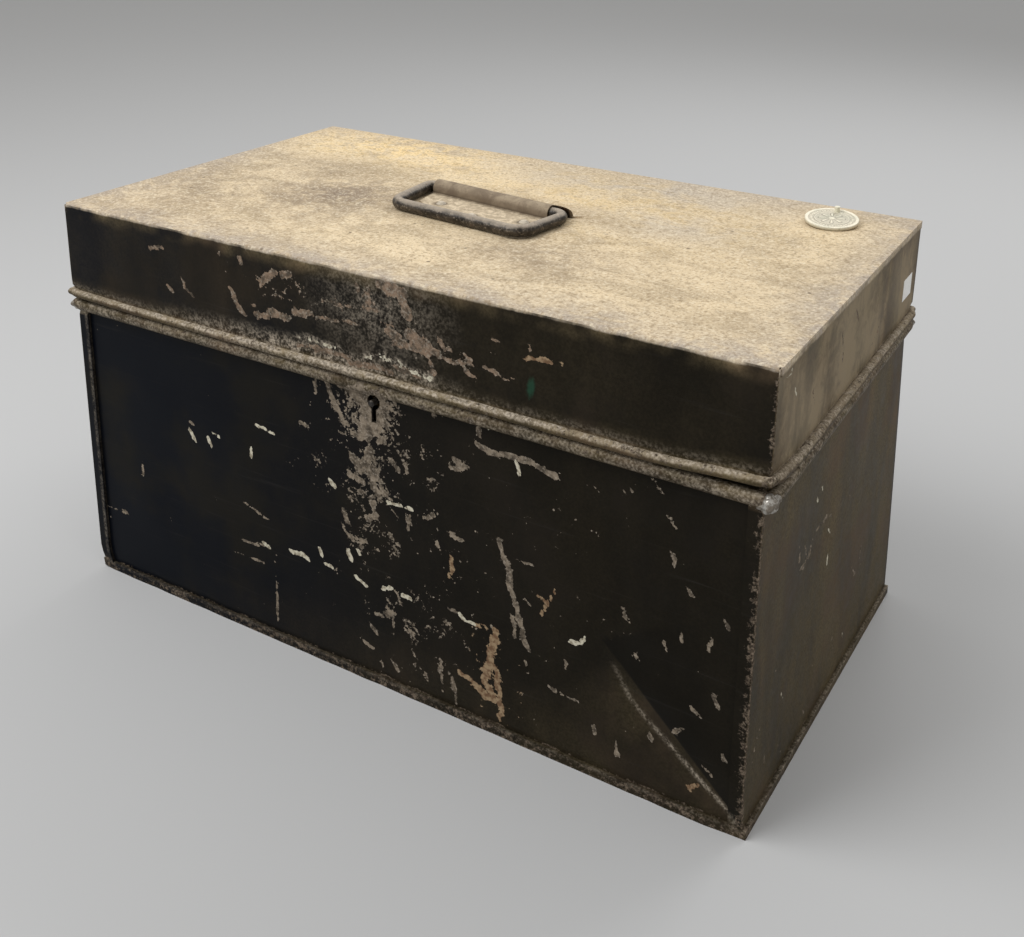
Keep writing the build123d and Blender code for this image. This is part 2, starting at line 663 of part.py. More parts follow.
# ---- assembly ----------------------------------------------------------------------------------------
def make_parts():
    """Every piece of the box by the name of its node."""
    parts = {}
    front = long_wall() - keyhole(20)
    back = mirrored(long_wall(), Plane.XZ) - rivet_holes(HALF_Y, -1)
    parts["front_panel"] = front
    parts["back_panel"] = back
    parts["right_end"] = end_wall()
    parts["left_end"] = mirrored(end_wall(), Plane.YZ)
    parts["bottom_panel"] = bottom_panel()
    parts["bead_solder"] = bead_solder()

    parts["lid_sheet"] = lid_sheet() - rivet_holes(LID_Y, 1) - handle_holes()
    parts["lid_right_end"] = lid_end()
    parts["lid_left_end"] = mirrored(lid_end(), Plane.YZ)
    parts["lid_wire"] = lid_wire()

    for side, x in zip(("left", "right"), HINGE_XS):
        parts["hinge_lid_leaf_" + side] = hinge_lid_leaf(x) - rivet_holes(LID_Y, 1)
        parts["hinge_body_leaf_" + side] = hinge_body_leaf(x) - rivet_holes(HALF_Y, -1)
        parts["hinge_pin_" + side] = hinge_pin(x)
    parts["hinge_lid_rivets"] = hinge_rivets(LID_Y, 1)
    parts["hinge_body_rivets"] = hinge_rivets(HALF_Y, -1)

    parts["lock_plate"] = lock_plate()
    parts["lock_case"] = lock_case()
    parts["key_post"] = key_post()
    parts["ward_rings"] = ward_rings()
    parts["lock_bolt"] = lock_bolt()
    parts["bolt_studs"] = bolt_studs()
    parts["bolt_spring"] = bolt_spring()
    parts["lock_staple"] = lock_staple()

    parts["handle_strap"] = handle_strap()
    parts["handle_rivets"] = handle_rivets()
    parts["handle_bail"] = handle_bail()
    parts["tag_disc"] = tag_disc()
    parts["tag_peg"] = tag_peg()
    parts["paper_label"] = paper_label()
    return parts


os.makedirs("parts", exist_ok=True)
for node, shape in make_parts().items():
    export_step(shape, "parts/" + node + ".step")
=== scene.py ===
"""Worn japanned deed box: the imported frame, dressed with dented sheet, rust, dust and chipped japanning.

The tables and what bends and paints are in mm, in the CAD's frame: x to the right, y backwards, z up.
"""

import functools
import json
import math

import bmesh
import bpy
import numpy as np
from mathutils import Matrix, Vector, noise


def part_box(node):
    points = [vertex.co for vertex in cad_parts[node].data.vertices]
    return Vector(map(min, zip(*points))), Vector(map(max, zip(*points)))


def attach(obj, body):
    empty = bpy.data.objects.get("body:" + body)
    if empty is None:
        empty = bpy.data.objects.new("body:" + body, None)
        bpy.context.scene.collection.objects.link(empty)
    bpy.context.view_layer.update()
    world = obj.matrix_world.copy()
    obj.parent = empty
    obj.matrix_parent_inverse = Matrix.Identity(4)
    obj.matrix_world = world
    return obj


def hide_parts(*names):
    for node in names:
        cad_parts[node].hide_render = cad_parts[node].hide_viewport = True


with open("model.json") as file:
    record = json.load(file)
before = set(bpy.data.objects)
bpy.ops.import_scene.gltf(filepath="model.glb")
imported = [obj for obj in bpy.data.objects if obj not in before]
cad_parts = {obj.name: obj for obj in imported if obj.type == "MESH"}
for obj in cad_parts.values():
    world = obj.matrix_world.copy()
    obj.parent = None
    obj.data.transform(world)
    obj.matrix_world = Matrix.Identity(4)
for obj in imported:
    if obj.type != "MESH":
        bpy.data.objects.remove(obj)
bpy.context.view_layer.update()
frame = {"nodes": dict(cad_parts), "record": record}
NODES = frame["nodes"]
MM = 0.001
MM_PER_M = 1000.0

# ---- the view ----
IMAGE_W, IMAGE_H = 1024, 937
FOCAL_PX = 1228.7
SENSOR_MM = 36
CENTRE_X, CENTRE_Y = 512.0, 285.0
AZIMUTH, ELEVATION, ROLL = 31.306, 19.966, 0.731
CAMERA_AT = (0.4201, -0.6637, 0.5177)


def make_camera():
    az, el, roll = (math.radians(a) for a in (AZIMUTH, ELEVATION, ROLL))
    forward = Vector((-math.sin(az) * math.cos(el), math.cos(az) * math.cos(el), -math.sin(el)))
    level = Vector((math.cos(az), math.sin(az), 0))
    upright = level.cross(forward)
    right = math.cos(roll) * level + math.sin(roll) * upright
    up = -math.sin(roll) * level + math.cos(roll) * upright
    data = bpy.data.cameras.new("camera")
    data.sensor_fit = "HORIZONTAL"
    data.sensor_width = SENSOR_MM
    data.lens = FOCAL_PX * SENSOR_MM / IMAGE_W
    data.shift_x = (IMAGE_W / 2 - CENTRE_X) / IMAGE_W
    data.shift_y = (CENTRE_Y - IMAGE_H / 2) / IMAGE_W
    turn = Matrix((right, up, -forward)).transposed().to_4x4()
    camera = link_object("camera", data)
    camera.matrix_world = Matrix.Translation(CAMERA_AT) @ turn
    bpy.context.scene.camera = camera


def link_object(name, data):
    thing = bpy.data.objects.new(name, data)
    bpy.context.collection.objects.link(thing)
    return thing


# ---- node materials ----
class Tree:
    """A material's nodes: each method adds what it needs and gives the output."""

    def __init__(self, name):
        self.material = bpy.data.materials.new(name)
        self.material.use_nodes = True
        self.tree = self.material.node_tree
        self.tree.nodes.clear()
        where = self.add("ShaderNodeTexCoord")
        self.place = where.outputs["Object"]
        self.facing = where.outputs["Normal"]

    def add(self, kind):
        return self.tree.nodes.new(kind)

    def through(self, node, *values):
        """Feeds a node's first inputs in turn and gives its first output."""
        for socket, value in zip(node.inputs, values):
            self.feed(socket, value)
        return node.outputs[0]

    def feed(self, socket, value):
        """Links an output to the socket, or sets the socket to a number, vector or colour."""
        if isinstance(value, bpy.types.NodeSocket):
            self.tree.links.new(value, socket)
        elif isinstance(value, tuple) and len(value) == 3 and socket.type == "RGBA":
            socket.default_value = (*value, 1)
        else:
            socket.default_value = value

    def math(self, kind, a, b):
        node = self.add("ShaderNodeMath")
        node.operation = kind
        return self.through(node, a, b)

    def plus(self, a, b):
        return self.math("ADD", a, b)

    def times(self, a, b):
        return self.math("MULTIPLY", a, b)

    def larger(self, a, b):
        return self.math("MAXIMUM", a, b)

    def step(self, value, low, high, start=0.0, end=1.0):
        """Goes smoothly from start to end as value goes from low to high."""
        node = self.add("ShaderNodeMapRange")
        node.interpolation_type = "SMOOTHSTEP"
        return self.through(node, value, low, high, start, end)

    def mix(self, share, a, b):
        """Colour a where share is 0, b where it is 1."""
        node = self.add("ShaderNodeMix")
        node.data_type = "RGBA"
        self.feed(node.inputs["Factor"], share)
        self.feed(node.inputs[6], a)
        self.feed(node.inputs[7], b)
        return node.outputs[2]

    def over(self, under, colour, value, low, high, share=1.0):
        """Lays a colour over what is under it, by up to share, as value goes from low to high."""
        return self.mix(self.step(value, low, high, 0.0, share), under, colour)

    def blend(self, share, a, b):
        """Number a where share is 0, b where it is 1."""
        node = self.add("ShaderNodeMix")
        node.data_type = "FLOAT"
        self.feed(node.inputs[0], share)
        self.feed(node.inputs[2], a)
        self.feed(node.inputs[3], b)
        return node.outputs[0]

    def stretch(self, scale):
        node = self.add("ShaderNodeMapping")
        node.inputs["Scale"].default_value = scale
        return self.through(node, self.place)

    def noise(self, size_mm, detail=3.0, rough=0.55, warp=0.0, where=None):
        node = self.add("ShaderNodeTexNoise")
        node.inputs["Scale"].default_value = MM_PER_M / size_mm
        node.inputs["Detail"].default_value = detail
        node.inputs["Roughness"].default_value = rough
        node.inputs["Distortion"].default_value = warp
        return self.through(node, where or self.place)

    def cells(self, size_mm):
        node = self.add("ShaderNodeTexVoronoi")
        node.inputs["Scale"].default_value = MM_PER_M / size_mm
        return self.through(node, self.place)

    def painted(self, name):
        """The three channels of a colour layer."""
        node = self.add("ShaderNodeAttribute")
        node.attribute_name = name
        split = self.add("ShaderNodeSeparateColor")
        self.feed(split.inputs[0], node.outputs["Color"])
        return tuple(split.outputs)

    def part_of(self, vector, axis):
        node = self.add("ShaderNodeSeparateXYZ")
        self.feed(node.inputs[0], vector)
        return node.outputs[axis]

    def bump(self, height, depth_mm):
        node = self.add("ShaderNodeBump")
        node.inputs["Distance"].default_value = depth_mm * MM
        node.inputs["Strength"].default_value = 1.0
        self.feed(node.inputs["Height"], height)
        return node.outputs[0]

    def finish(self, colour, rough, metal=0.0, normal=None, specular=0.5):
        out = self.add("ShaderNodeOutputMaterial")
        shader = self.add("ShaderNodeBsdfPrincipled")
        self.feed(shader.inputs["Base Color"], colour)
        self.feed(shader.inputs["Roughness"], rough)
        self.feed(shader.inputs["Metallic"], metal)
        shader.inputs["Specular IOR Level"].default_value = specular
        if normal is not None:
            self.feed(shader.inputs["Normal"], normal)
        self.tree.links.new(shader.outputs[0], out.inputs[0])
        return self.material


# Linear colours. Noise goes between the two of a pair.
INK_COOL, INK_WARM, INK_FADED = (0.0022, 0.0036, 0.0070), (0.0065, 0.0056, 0.0040), (0.0085, 0.0078, 0.0062)
HAIRLINE = (0.030, 0.028, 0.026)
DIRT = (0.116, 0.088, 0.045), (0.204, 0.157, 0.087)
BROWN_DIRT, PALE_DIRT = (0.165, 0.108, 0.068), (0.34, 0.275, 0.185)
SCUFF_AND_HIGHLIGHT = (0.17, 0.145, 0.115), (0.50, 0.43, 0.34)
DARK_METAL, BODY_METAL, LID_METAL = (0.070, 0.057, 0.043), (0.27, 0.220, 0.165), (0.26, 0.185, 0.130)
BRIGHT_METAL = (0.40, 0.345, 0.28)
OXIDE = (0.16, 0.095, 0.055), (0.34, 0.245, 0.15)
PITTED = (0.050, 0.037, 0.027), (0.21, 0.165, 0.122)
CREAM = (0.30, 0.26, 0.19), (0.62, 0.58, 0.46)
GREEN = (0.018, 0.075, 0.045)
PAINT_SPECULAR = 0.055


def chipped(t, chance, grain, sharp=0.03):
    """Where paint has flaked: a painted chance, broken up by grain, made a crisp edge."""
    return t.step(t.plus(chance, grain), 0.5 - sharp, 0.5 + sharp)


def paint_layers(t, metal_light):
    """Old black japanning with its film of dirt, chips to the metal, rust and flecks of cream paint."""
    bare, rust, cream = t.painted("wear")
    film, scuff_and_highlight, pitted = t.painted("soil_and_highlight")
    broad = t.noise(70, 4, 0.6)
    middle = t.noise(9, 4, 0.65, 0.6)
    fine = t.noise(1.6, 3, 0.6)
    speck = t.noise(3.4, 2, 0.6)
    hair = t.noise(5, 3, 0.7, 0.2, t.stretch((0.05, 0.05, 1.6)))
    drips = t.noise(30, 4, 0.55, 0.5, t.stretch((1, 1, 0.28)))

    ink = t.over(INK_COOL, INK_WARM, t.part_of(t.place, 0), -0.20, 0.16)
    ink = t.over(ink, INK_FADED, broad, 0.42, 0.66)
    ink = t.over(ink, HAIRLINE, hair, 0.60, 0.80, 0.35)

    dirt = t.over(*DIRT, fine, 0.3, 0.7)
    dirt = t.over(dirt, BROWN_DIRT, broad, 0.48, 0.64, 0.6)
    dirt = t.over(dirt, PALE_DIRT, t.plus(film, t.times(middle, 0.4)), 0.85, 1.25, 0.8)
    streaky = t.plus(t.times(drips, 0.8), t.times(middle, 0.35))
    coat = t.times(film, t.step(streaky, 0.36, 0.80, 0.55, 1.30))
    colour = t.mix(coat, ink, dirt)

    # Scuffs show the metal colour; on the tops of the bead and the rim roll and on the left seam's edge they
    # are painted highlights.
    thin = t.times(scuff_and_highlight, t.step(t.plus(t.times(middle, 0.6), t.times(fine, 0.4)), 0.38, 0.62))
    colour = t.mix(thin, colour, t.over(*SCUFF_AND_HIGHLIGHT, fine, 0.35, 0.65))

    grain = t.plus(middle, t.times(speck, 0.75))
    grain = t.plus(grain, t.plus(t.times(fine, 0.45), -1.10))
    chips = chipped(t, bare, grain)
    metal = t.over(DARK_METAL, metal_light, t.noise(6, 4, 0.7), 0.35, 0.65)
    metal = t.over(metal, BRIGHT_METAL, fine, 0.50, 0.68, 0.6)
    colour = t.mix(chips, colour, metal)

    rusty = chipped(t, rust, grain, 0.05)
    colour = t.mix(rusty, colour, t.over(*OXIDE, speck, 0.35, 0.65))

    pits = t.step(t.plus(pitted, t.times(t.plus(t.noise(2.6, 4, 0.7), -0.5), 1.5)), 0.42, 0.62)
    colour = t.mix(pits, colour, t.over(*PITTED, fine, 0.35, 0.65))

    flecks = chipped(t, cream, t.times(grain, 0.7))
    colour = t.mix(flecks, colour, t.over(*CREAM, speck, 0.35, 0.6))

    bare_all = t.larger(chips, rusty)
    rough = t.plus(t.times(middle, 0.22), t.plus(t.times(coat, 0.35), 0.22))
    rough = t.blend(t.larger(bare_all, t.larger(pits, thin)), rough, 0.78)
    pitting = t.plus(t.times(pits, t.times(fine, 1.6)), t.times(flecks, 0.35))
    height = t.plus(t.times(bare_all, -0.55), pitting)
    height = t.plus(height, t.plus(t.times(speck, 0.10), t.times(hair, 0.12)))
    return colour, t.math("MINIMUM", rough, 0.95), height, (middle, speck, fine)


def make_japanned():
    t = Tree("japanned_paint")
    colour, rough, height, _ = paint_layers(t, BODY_METAL)
    return t.finish(colour, rough, 0.0, t.bump(height, 0.22), PAINT_SPECULAR)


TAN = (0.52, 0.415, 0.275), (0.76, 0.615, 0.41)
TAN_BLOTCH, TAN_RIM, TAN_YELLOW = (0.42, 0.33, 0.215), (0.45, 0.385, 0.315), (0.88, 0.66, 0.34)
TAN_BLUE, TAN_STAIN, TAN_SPECK = (0.47, 0.42, 0.36), (0.255, 0.20, 0.155), (0.13, 0.10, 0.075)
GRIT = (0.30, 0.22, 0.135), (0.84, 0.73, 0.54)
SAND = (0.29, 0.215, 0.14), (0.93, 0.84, 0.66)


def make_lid_japanned():
    """The lid's paint: as the body's on its sides, lost under rust and dust on the flat top."""
    t = Tree("lid_paint")
    colour, rough, height, (middle, speck, fine) = paint_layers(t, LID_METAL)
    top, dark, blue = t.painted("tone")
    yellow, green, worn_rim = t.painted("tone_more")
    colour = t.over(colour, GREEN, t.plus(green, t.times(fine, 0.3)), 0.62, 0.95, 0.6)

    patch = t.noise(34, 5, 0.62, 0.5, t.stretch((0.75, 1.25, 1)))
    blotch = t.noise(13, 4, 0.65, 0.8)
    grit = t.noise(3.6, 4, 0.68, 0.3)
    sand = t.noise(1.7, 1, 0.6)
    tan = t.over(*TAN, patch, 0.34, 0.62)
    tan = t.over(tan, TAN_BLOTCH, blotch, 0.50, 0.72, 0.42)
    tan = t.mix(t.times(worn_rim, t.step(blotch, 0.30, 0.62, 0.3, 1.0)), tan, TAN_RIM)
    tan = t.mix(t.times(yellow, t.step(blotch, 0.35, 0.60)), tan, TAN_YELLOW)
    tan = t.mix(t.times(blue, t.step(patch, 0.38, 0.60)), tan, TAN_BLUE)
    tan = t.mix(t.times(dark, t.step(blotch, 0.30, 0.58, 0.25, 1.0)), tan, TAN_STAIN)
    tan = t.over(tan, GRIT[0], grit, 0.53, 0.66, 0.55)
    tan = t.over(tan, GRIT[1], grit, 0.46, 0.33, 0.50)
    tan = t.over(tan, SAND[0], sand, 0.54, 0.68, 0.45)
    tan = t.over(tan, SAND[1], sand, 0.44, 0.34, 0.30)
    specks = t.step(t.cells(11), 0.13, 0.07, 0.0, 0.75)
    tan = t.mix(t.times(specks, t.step(t.noise(40, 2), 0.5, 0.62)), tan, TAN_SPECK)

    edge = t.plus(top, t.plus(t.times(middle, 0.30), t.times(speck, 0.25)))
    on_top = t.step(edge, 0.62, 1.02)
    colour = t.mix(on_top, colour, tan)
    rough = t.blend(on_top, rough, t.plus(t.times(grit, 0.15), 0.72))
    crust = t.plus(t.times(grit, 0.8), t.plus(t.times(sand, 0.35), t.times(blotch, 0.5)))
    height = t.blend(on_top, height, t.plus(crust, -0.6))
    return t.finish(colour, rough, 0.0, t.bump(height, 0.30), PAINT_SPECULAR)


DUST, RUST = (0.20, 0.17, 0.125), (0.10, 0.055, 0.032)
# Colour in the hollows and on the high spots, the colour of dust and painted highlight on what faces up and
# how much of it, size of the wear, roughness, metal.
IRONS = {
    "hinge_iron": ((0.012, 0.011, 0.010), (0.060, 0.050, 0.042), DUST, 0.25, 5, 0.42, 0.3),
    "iron": ((0.020, 0.017, 0.015), (0.10, 0.085, 0.07), DUST, 0.3, 5, 0.42, 0.4),
    "lock_iron": ((0.030, 0.026, 0.022), (0.13, 0.115, 0.10), DUST, 0.25, 5, 0.42, 0.5),
    "lock_brass": ((0.22, 0.15, 0.06), (0.52, 0.37, 0.16), DUST, 0.2, 5, 0.42, 0.7),
    "spring_steel": ((0.08, 0.08, 0.085), (0.24, 0.23, 0.22), DUST, 0.15, 5, 0.42, 0.8),
    # The handle's and the rivets' pale colours on what faces up are dust with a painted highlight.
    "handle_iron": ((0.022, 0.018, 0.014), (0.090, 0.075, 0.060), (0.42, 0.355, 0.28), 0.85, 7, 0.36, 0.5),
    "rivet_iron": ((0.30, 0.26, 0.20), (0.56, 0.50, 0.40), (0.66, 0.58, 0.46), 0.7, 5, 0.45, 0.1),
}


def make_iron(name, dark, light, dust_and_light_colour, film, size, matt, metal):
    """Metal rubbed bright on its high spots, a little rusty, with dust and a painted highlight on what faces
    up.
    """
    t = Tree(name)
    wear = t.noise(size, 4, 0.65, 0.4)
    fine = t.noise(size * 0.22, 3, 0.6)
    colour = t.over(dark, light, wear, 0.40, 0.68)
    # Dust and a painted highlight on what faces up: tops lighter, flanks darker.
    dust_and_top_light = t.times(t.step(t.plus(t.part_of(t.facing, 2), t.times(wear, 0.6)), 0.75, 1.35), film)
    dust_and_top_light = t.plus(dust_and_top_light, t.times(t.step(fine, 0.52, 0.72), film * 0.5))
    colour = t.mix(dust_and_top_light, colour, dust_and_light_colour)
    rusty = t.step(t.noise(size * 1.7, 5, 0.7, 0.8), 0.60, 0.70, 0.0, 0.6)
    colour = t.mix(rusty, colour, RUST)
    soft = t.larger(dust_and_top_light, rusty)
    rough = t.blend(soft, t.plus(t.times(fine, 0.2), matt - 0.1), 0.8)
    metallic = t.times(t.math("SUBTRACT", 1.0, soft), metal)
    height = t.plus(t.times(wear, 0.7), t.times(fine, 0.4))
    return t.finish(colour, rough, metallic, t.bump(height, 0.25))


STRAP = (0.215, 0.165, 0.115), (0.375, 0.300, 0.210)
STRAP_SHADED_SIDE, STRAP_SPECK, STRAP_SHADE = (0.135, 0.100, 0.068), (0.16, 0.120, 0.082), (0.070, 0.050, 0.034)
STRAP_DUST = (0.46, 0.37, 0.255), (0.72, 0.60, 0.43)
TUNNEL_SHADE_AND_RUST = (0.012, 0.009, 0.007), (0.075, 0.036, 0.016)


def make_strap():
    """The handle's strap: dust lies pale on its flanges, the tunnel is browner with painted shade on what
    faces sideways and down, and its inside is dark with painted shade over rust.
    """
    t = Tree("strap_iron")
    inside, flange, shade = t.painted("tone")
    broad = t.noise(14, 4, 0.6, 0.5)
    wear = t.noise(5, 4, 0.65, 0.4)
    fine = t.noise(1.5, 3, 0.6)
    colour = t.over(*STRAP, broad, 0.36, 0.64)
    # Painted shade: darker where the strap faces sideways and down.
    colour = t.over(colour, STRAP_SHADED_SIDE, t.part_of(t.facing, 2), 0.75, 0.15, 0.55)
    dust = t.over(*STRAP_DUST, wear, 0.40, 0.64)
    colour = t.over(colour, dust, t.plus(flange, t.times(wear, 0.4)), 0.55, 0.85)
    colour = t.over(colour, STRAP_SPECK, fine, 0.54, 0.70, 0.5)
    colour = t.mix(shade, colour, STRAP_SHADE)
    # Painted shade inside the tunnel, over some rust.
    colour = t.mix(inside, colour, t.over(*TUNNEL_SHADE_AND_RUST, wear, 0.50, 0.66))
    rough = t.blend(inside, 0.85, 0.45)
    height = t.plus(t.times(wear, 0.7), t.times(fine, 0.4))
    return t.finish(colour, rough, 0.0, t.bump(height, 0.22), 0.3)


SOLDER, SOLDER_TARNISH = (0.52, 0.50, 0.46), (0.17, 0.145, 0.115)


def make_solder():
    t = Tree("solder")
    lumps = t.noise(5, 3, 0.5)
    fine = t.noise(1.3, 3, 0.6)
    tarnish = t.step(t.plus(t.times(lumps, 0.7), t.times(fine, 0.4)), 0.44, 0.66)
    colour = t.mix(tarnish, SOLDER, SOLDER_TARNISH)
    rough = t.blend(tarnish, 0.38, 0.75)
    metallic = t.blend(tarnish, 0.75, 0.25)
    return t.finish(colour, rough, metallic, t.bump(t.plus(lumps, t.times(fine, 0.4)), 0.5))


TAG = (0.93, 0.86, 0.69), (0.78, 0.75, 0.60)
TAG_SPECK, TAG_GRIME = (0.34, 0.29, 0.20), (0.14, 0.115, 0.075)


def make_tag_metal():
    t = Tree("tag_metal")
    wide = t.noise(11, 3, 0.6)
    fine = t.noise(1.0, 3, 0.6)
    colour = t.over(*TAG, wide, 0.40, 0.66)
    colour = t.over(colour, TAG_SPECK, fine, 0.52, 0.72, 0.55)
    colour = t.mix(t.painted("relief")[0], colour, TAG_GRIME)
    return t.finish(colour, 0.58, 0.1, t.bump(t.plus(fine, wide), 0.08))


PAPER, PAPER_FIBRE, PAPER_STAIN = (0.95, 0.95, 0.93), (0.88, 0.875, 0.84), (0.70, 0.65, 0.55)


def make_paper():
    t = Tree("paper")
    fibre = t.noise(2.2, 5, 0.7, 0.3, t.stretch((1, 0.35, 1)))
    stain = t.noise(9, 3, 0.6)
    colour = t.over(PAPER, PAPER_FIBRE, fibre, 0.35, 0.70)
    colour = t.over(colour, PAPER_STAIN, stain, 0.58, 0.74, 0.35)
    return t.finish(colour, 0.85, 0.0, t.bump(fibre, 0.05))


# ---- the wear that belongs to this box ----
# Strokes by what they show. Each is its width, then the x and z of its points in turn, on the front of the
# body and of the lid; on the right-hand end they are y and z.
FRONT_WEAR = {"bare": (
    (8, -11, 205, 1, 204, 4, 195, 1, 184, -4, 177), (3.5, 13, 211, 13, 199, 10, 188, 2, 178),
    (2.9, -20, 206, -9, 209, 0, 213), (3, -30, 206, -27, 198, -22, 191, -18, 183),
    (1.5, -20, 195, -17, 196), (1.1, -21, 174, -7, 177, 8, 181),
    (3.6, 0, 177, 3, 169, -2, 159, 3, 151, 6, 140), (3.7, -12, 161, -5, 155, 5, 156),
    (0.9, 8, 176, 17, 176, 23, 175), (2.9, 18, 166, 23, 161), (1.4, 27, 169, 30, 163, 28, 157),
    (3, -14, 147, -5, 144), (3, 1, 133, 5, 124, -1, 119), (2.3, -21, 121, -18, 112),
    (1.5, -21, 108, -17, 102, -3, 102), (1.5, 6, 143, 13, 143), (1.1, 18, 133, 22, 126),
    (1.8, 30, 132, 29, 122), (1.9, 15, 115, 16, 112), (1.8, 41, 133, 50, 140), (1.5, -40, 206, -39, 197),
    (2.3, -52, 172, -48, 172), (1.5, 20, 75, 22, 67), (1.4, 4, 52, 13, 54, 16, 59), (1.2, 16, 41, 18, 59),
    (2, -1, 42, 4, 37), (1.2, -10, 28, 0, 24), (1.5, 61, 130, 66, 128, 71, 129), (1.4, 51, 121, 52, 117),
    (1.3, 60, 77, 66, 77), (1.4, 88, 77, 94, 73), (1.3, 52, 38, 53, 26, 54, 13),
    (1.9, 60, 29, 63, 18, 63, 9), (1.4, 40, 23, 40, 15), (1.2, 6, 17, 8, 12), (1.6, 16, 20, 19, 16),
    (2.8, 95, 137, 97, 129, 101, 121, 102, 108, 106, 96, 109, 85, 112, 73, 114, 68),
    (1.4, 104, 89, 105, 75), (1, 112, 61, 114, 52), (1.1, 107, 129, 117, 129), (1.3, 112, 103, 115, 101),
    (1.3, 139, 71, 140, 64), (2, 131, 48, 133, 47), (0.7, 133, 47, 148, 47), (2.6, 79, 212, 81, 201),
    (2.8, 79, 195, 87, 192, 102, 193, 114, 193, 123, 191, 131, 189), (2.7, 64, 180, 71, 178),
    (2.1, 61, 174, 74, 178), (1.4, 46, 212, 50, 203), (1.2, 173, 192, 177, 194), (1.5, -110, 68, -90, 70),
    (1.3, -150, 147, -146, 145), (0.8, -105, 99, -84, 92), (1.2, -242, 53, -217, 54),
    (0.8, -80, 67, -81, 14), (0.9, -118, 57, -91, 57), (1.1, -201, 99, -202, 88), (1.5, 202, 165, 203, 157),
    (1.4, 212, 146, 214, 142), (1.3, 173, 120, 176, 115), (1.5, 209, 117, 209, 112),
    (1.6, 182, 94, 184, 91), (1.3, 227, 120, 224, 112), (1.5, 217, 72, 223, 69), (2.2, 230, 85, 232, 79),
    (1.8, 208, 52, 212, 56), (1.7, 192, 44, 195, 39), (1.3, 224, 37, 231, 33), (1.9, 236, 50, 238, 47),
    (1.2, 173, 30, 174, 20), (1.8, 158, 35, 160, 29), (1.1, 199, 108, 201, 103), (0.7, 182, 154, 188, 152),
    (0.7, 197, 187, 204, 180), (1.2, 233, 135, 235, 130), (0.5, 189, 205, 193, 199, 199, 199),
), "cream": (
    (3.1, -30, 138, -27, 135), (2.2, 14, 136, 24, 137, 32, 137), (2.4, -57, 76, -51, 73),
    (2.4, -42, 85, -40, 80), (2, -37, 75, -32, 75), (2.5, -18, 92, -16, 85), (2.2, -12, 74, -4, 71),
    (1.5, -10, 95, -9, 91), (1.9, 9, 73, 16, 76), (2.2, 24, 74, 31, 73), (2.2, 66, 76, 70, 73, 77, 73),
    (2, 142, 85, 148, 87, 152, 92), (1.3, 86, 206, 87, 206), (1.3, 105, 191, 108, 183),
    (1.9, -151, 141, -146, 133), (1.9, -134, 139, -131, 133), (1.7, -129, 144, -123, 143),
    (1.6, -95, 143, -96, 135), (1.6, -91, 161, -84, 160, -75, 159), (2.1, -90, 73, -85, 71),
    (2.5, -66, 74, -57, 75, -52, 74),
), "rust": (
    (1.6, 61, 114, 61, 106, 60, 99), (2.1, 77, 73, 85, 74), (4.2, 92, 75, 90, 61, 87, 48, 84, 34, 90, 27),
    (5.1, 79, 28, 85, 24, 91, 25), (2.8, 92, 48, 94, 34, 96, 20, 95, 12), (1.6, 66, 34, 71, 32, 80, 31),
    (1.3, 121, 93, 126, 104, 131, 115), (1.3, 120, 108, 126, 106), (2.2, 218, 18, 223, 22),
)}
LID_WEAR = {"bare": (
    (4.4, -73, 264, -64, 271), (3.6, -58, 270, -53, 272), (4.4, -69, 244, -55, 243),
    (3.6, -50, 248, -37, 250), (3, -81, 240, -71, 241), (1.1, -37, 248, -25, 250),
    (2.6, -101, 253, -97, 245, -91, 238), (1.1, -145, 253, -140, 245, -134, 241), (2, -156, 244, -153, 241),
    (2.4, -170, 267, -164, 268), (1.6, -161, 269, -159, 269), (2.2, -92, 275, -90, 271),
    (1.9, -110, 274, -109, 274), (1.5, -84, 246, -82, 246), (1, -29, 260, -12, 260, 13, 263),
    (0.9, 8, 276, 7, 263), (2.4, -2, 275, 0, 273), (1.4, -22, 249, -2, 251), (1.1, 15, 256, 24, 256),
    (7.5, 17, 280, 25, 278, 31, 276), (5.5, 31, 274, 33, 269, 34, 264), (3.6, 20, 252, 27, 250, 29, 246),
    (7, 36, 254, 40, 250, 48, 247), (3.6, 48, 248, 56, 244), (4.5, 24, 246, 33, 246, 44, 245),
    (1.4, 48, 244, 50, 239, 51, 233), (1.2, 56, 244, 64, 243, 73, 244, 83, 245, 91, 244, 96, 242),
    (1, 73, 249, 77, 247), (1.5, 73, 241, 79, 237), (1.2, 98, 241, 104, 242), (1.9, 56, 255, 60, 248),
    (1, 92, 254, 93, 254), (0.7, 92, 263, 96, 263), (0.7, 115, 264, 116, 260), (2.2, -48, 227, -33, 229),
    (2.9, -35, 227, -20, 229, -9, 229), (2.8, -8, 225, 10, 227, 22, 226), (2.7, 25, 231, 42, 228),
    (1.3, 50, 241, 54, 234),
), "scuffed": (
    (4, -47, 232, -36, 234, -28, 232, -19, 232, -12, 230),
    (4.6, 3, 231, 15, 235, 22, 233, 29, 232, 38, 230, 49, 229),
), "rust": (
    (1.6, 112, 255, 115, 257, 124, 258, 129, 258), (1.5, 133, 258, 136, 258),
)}
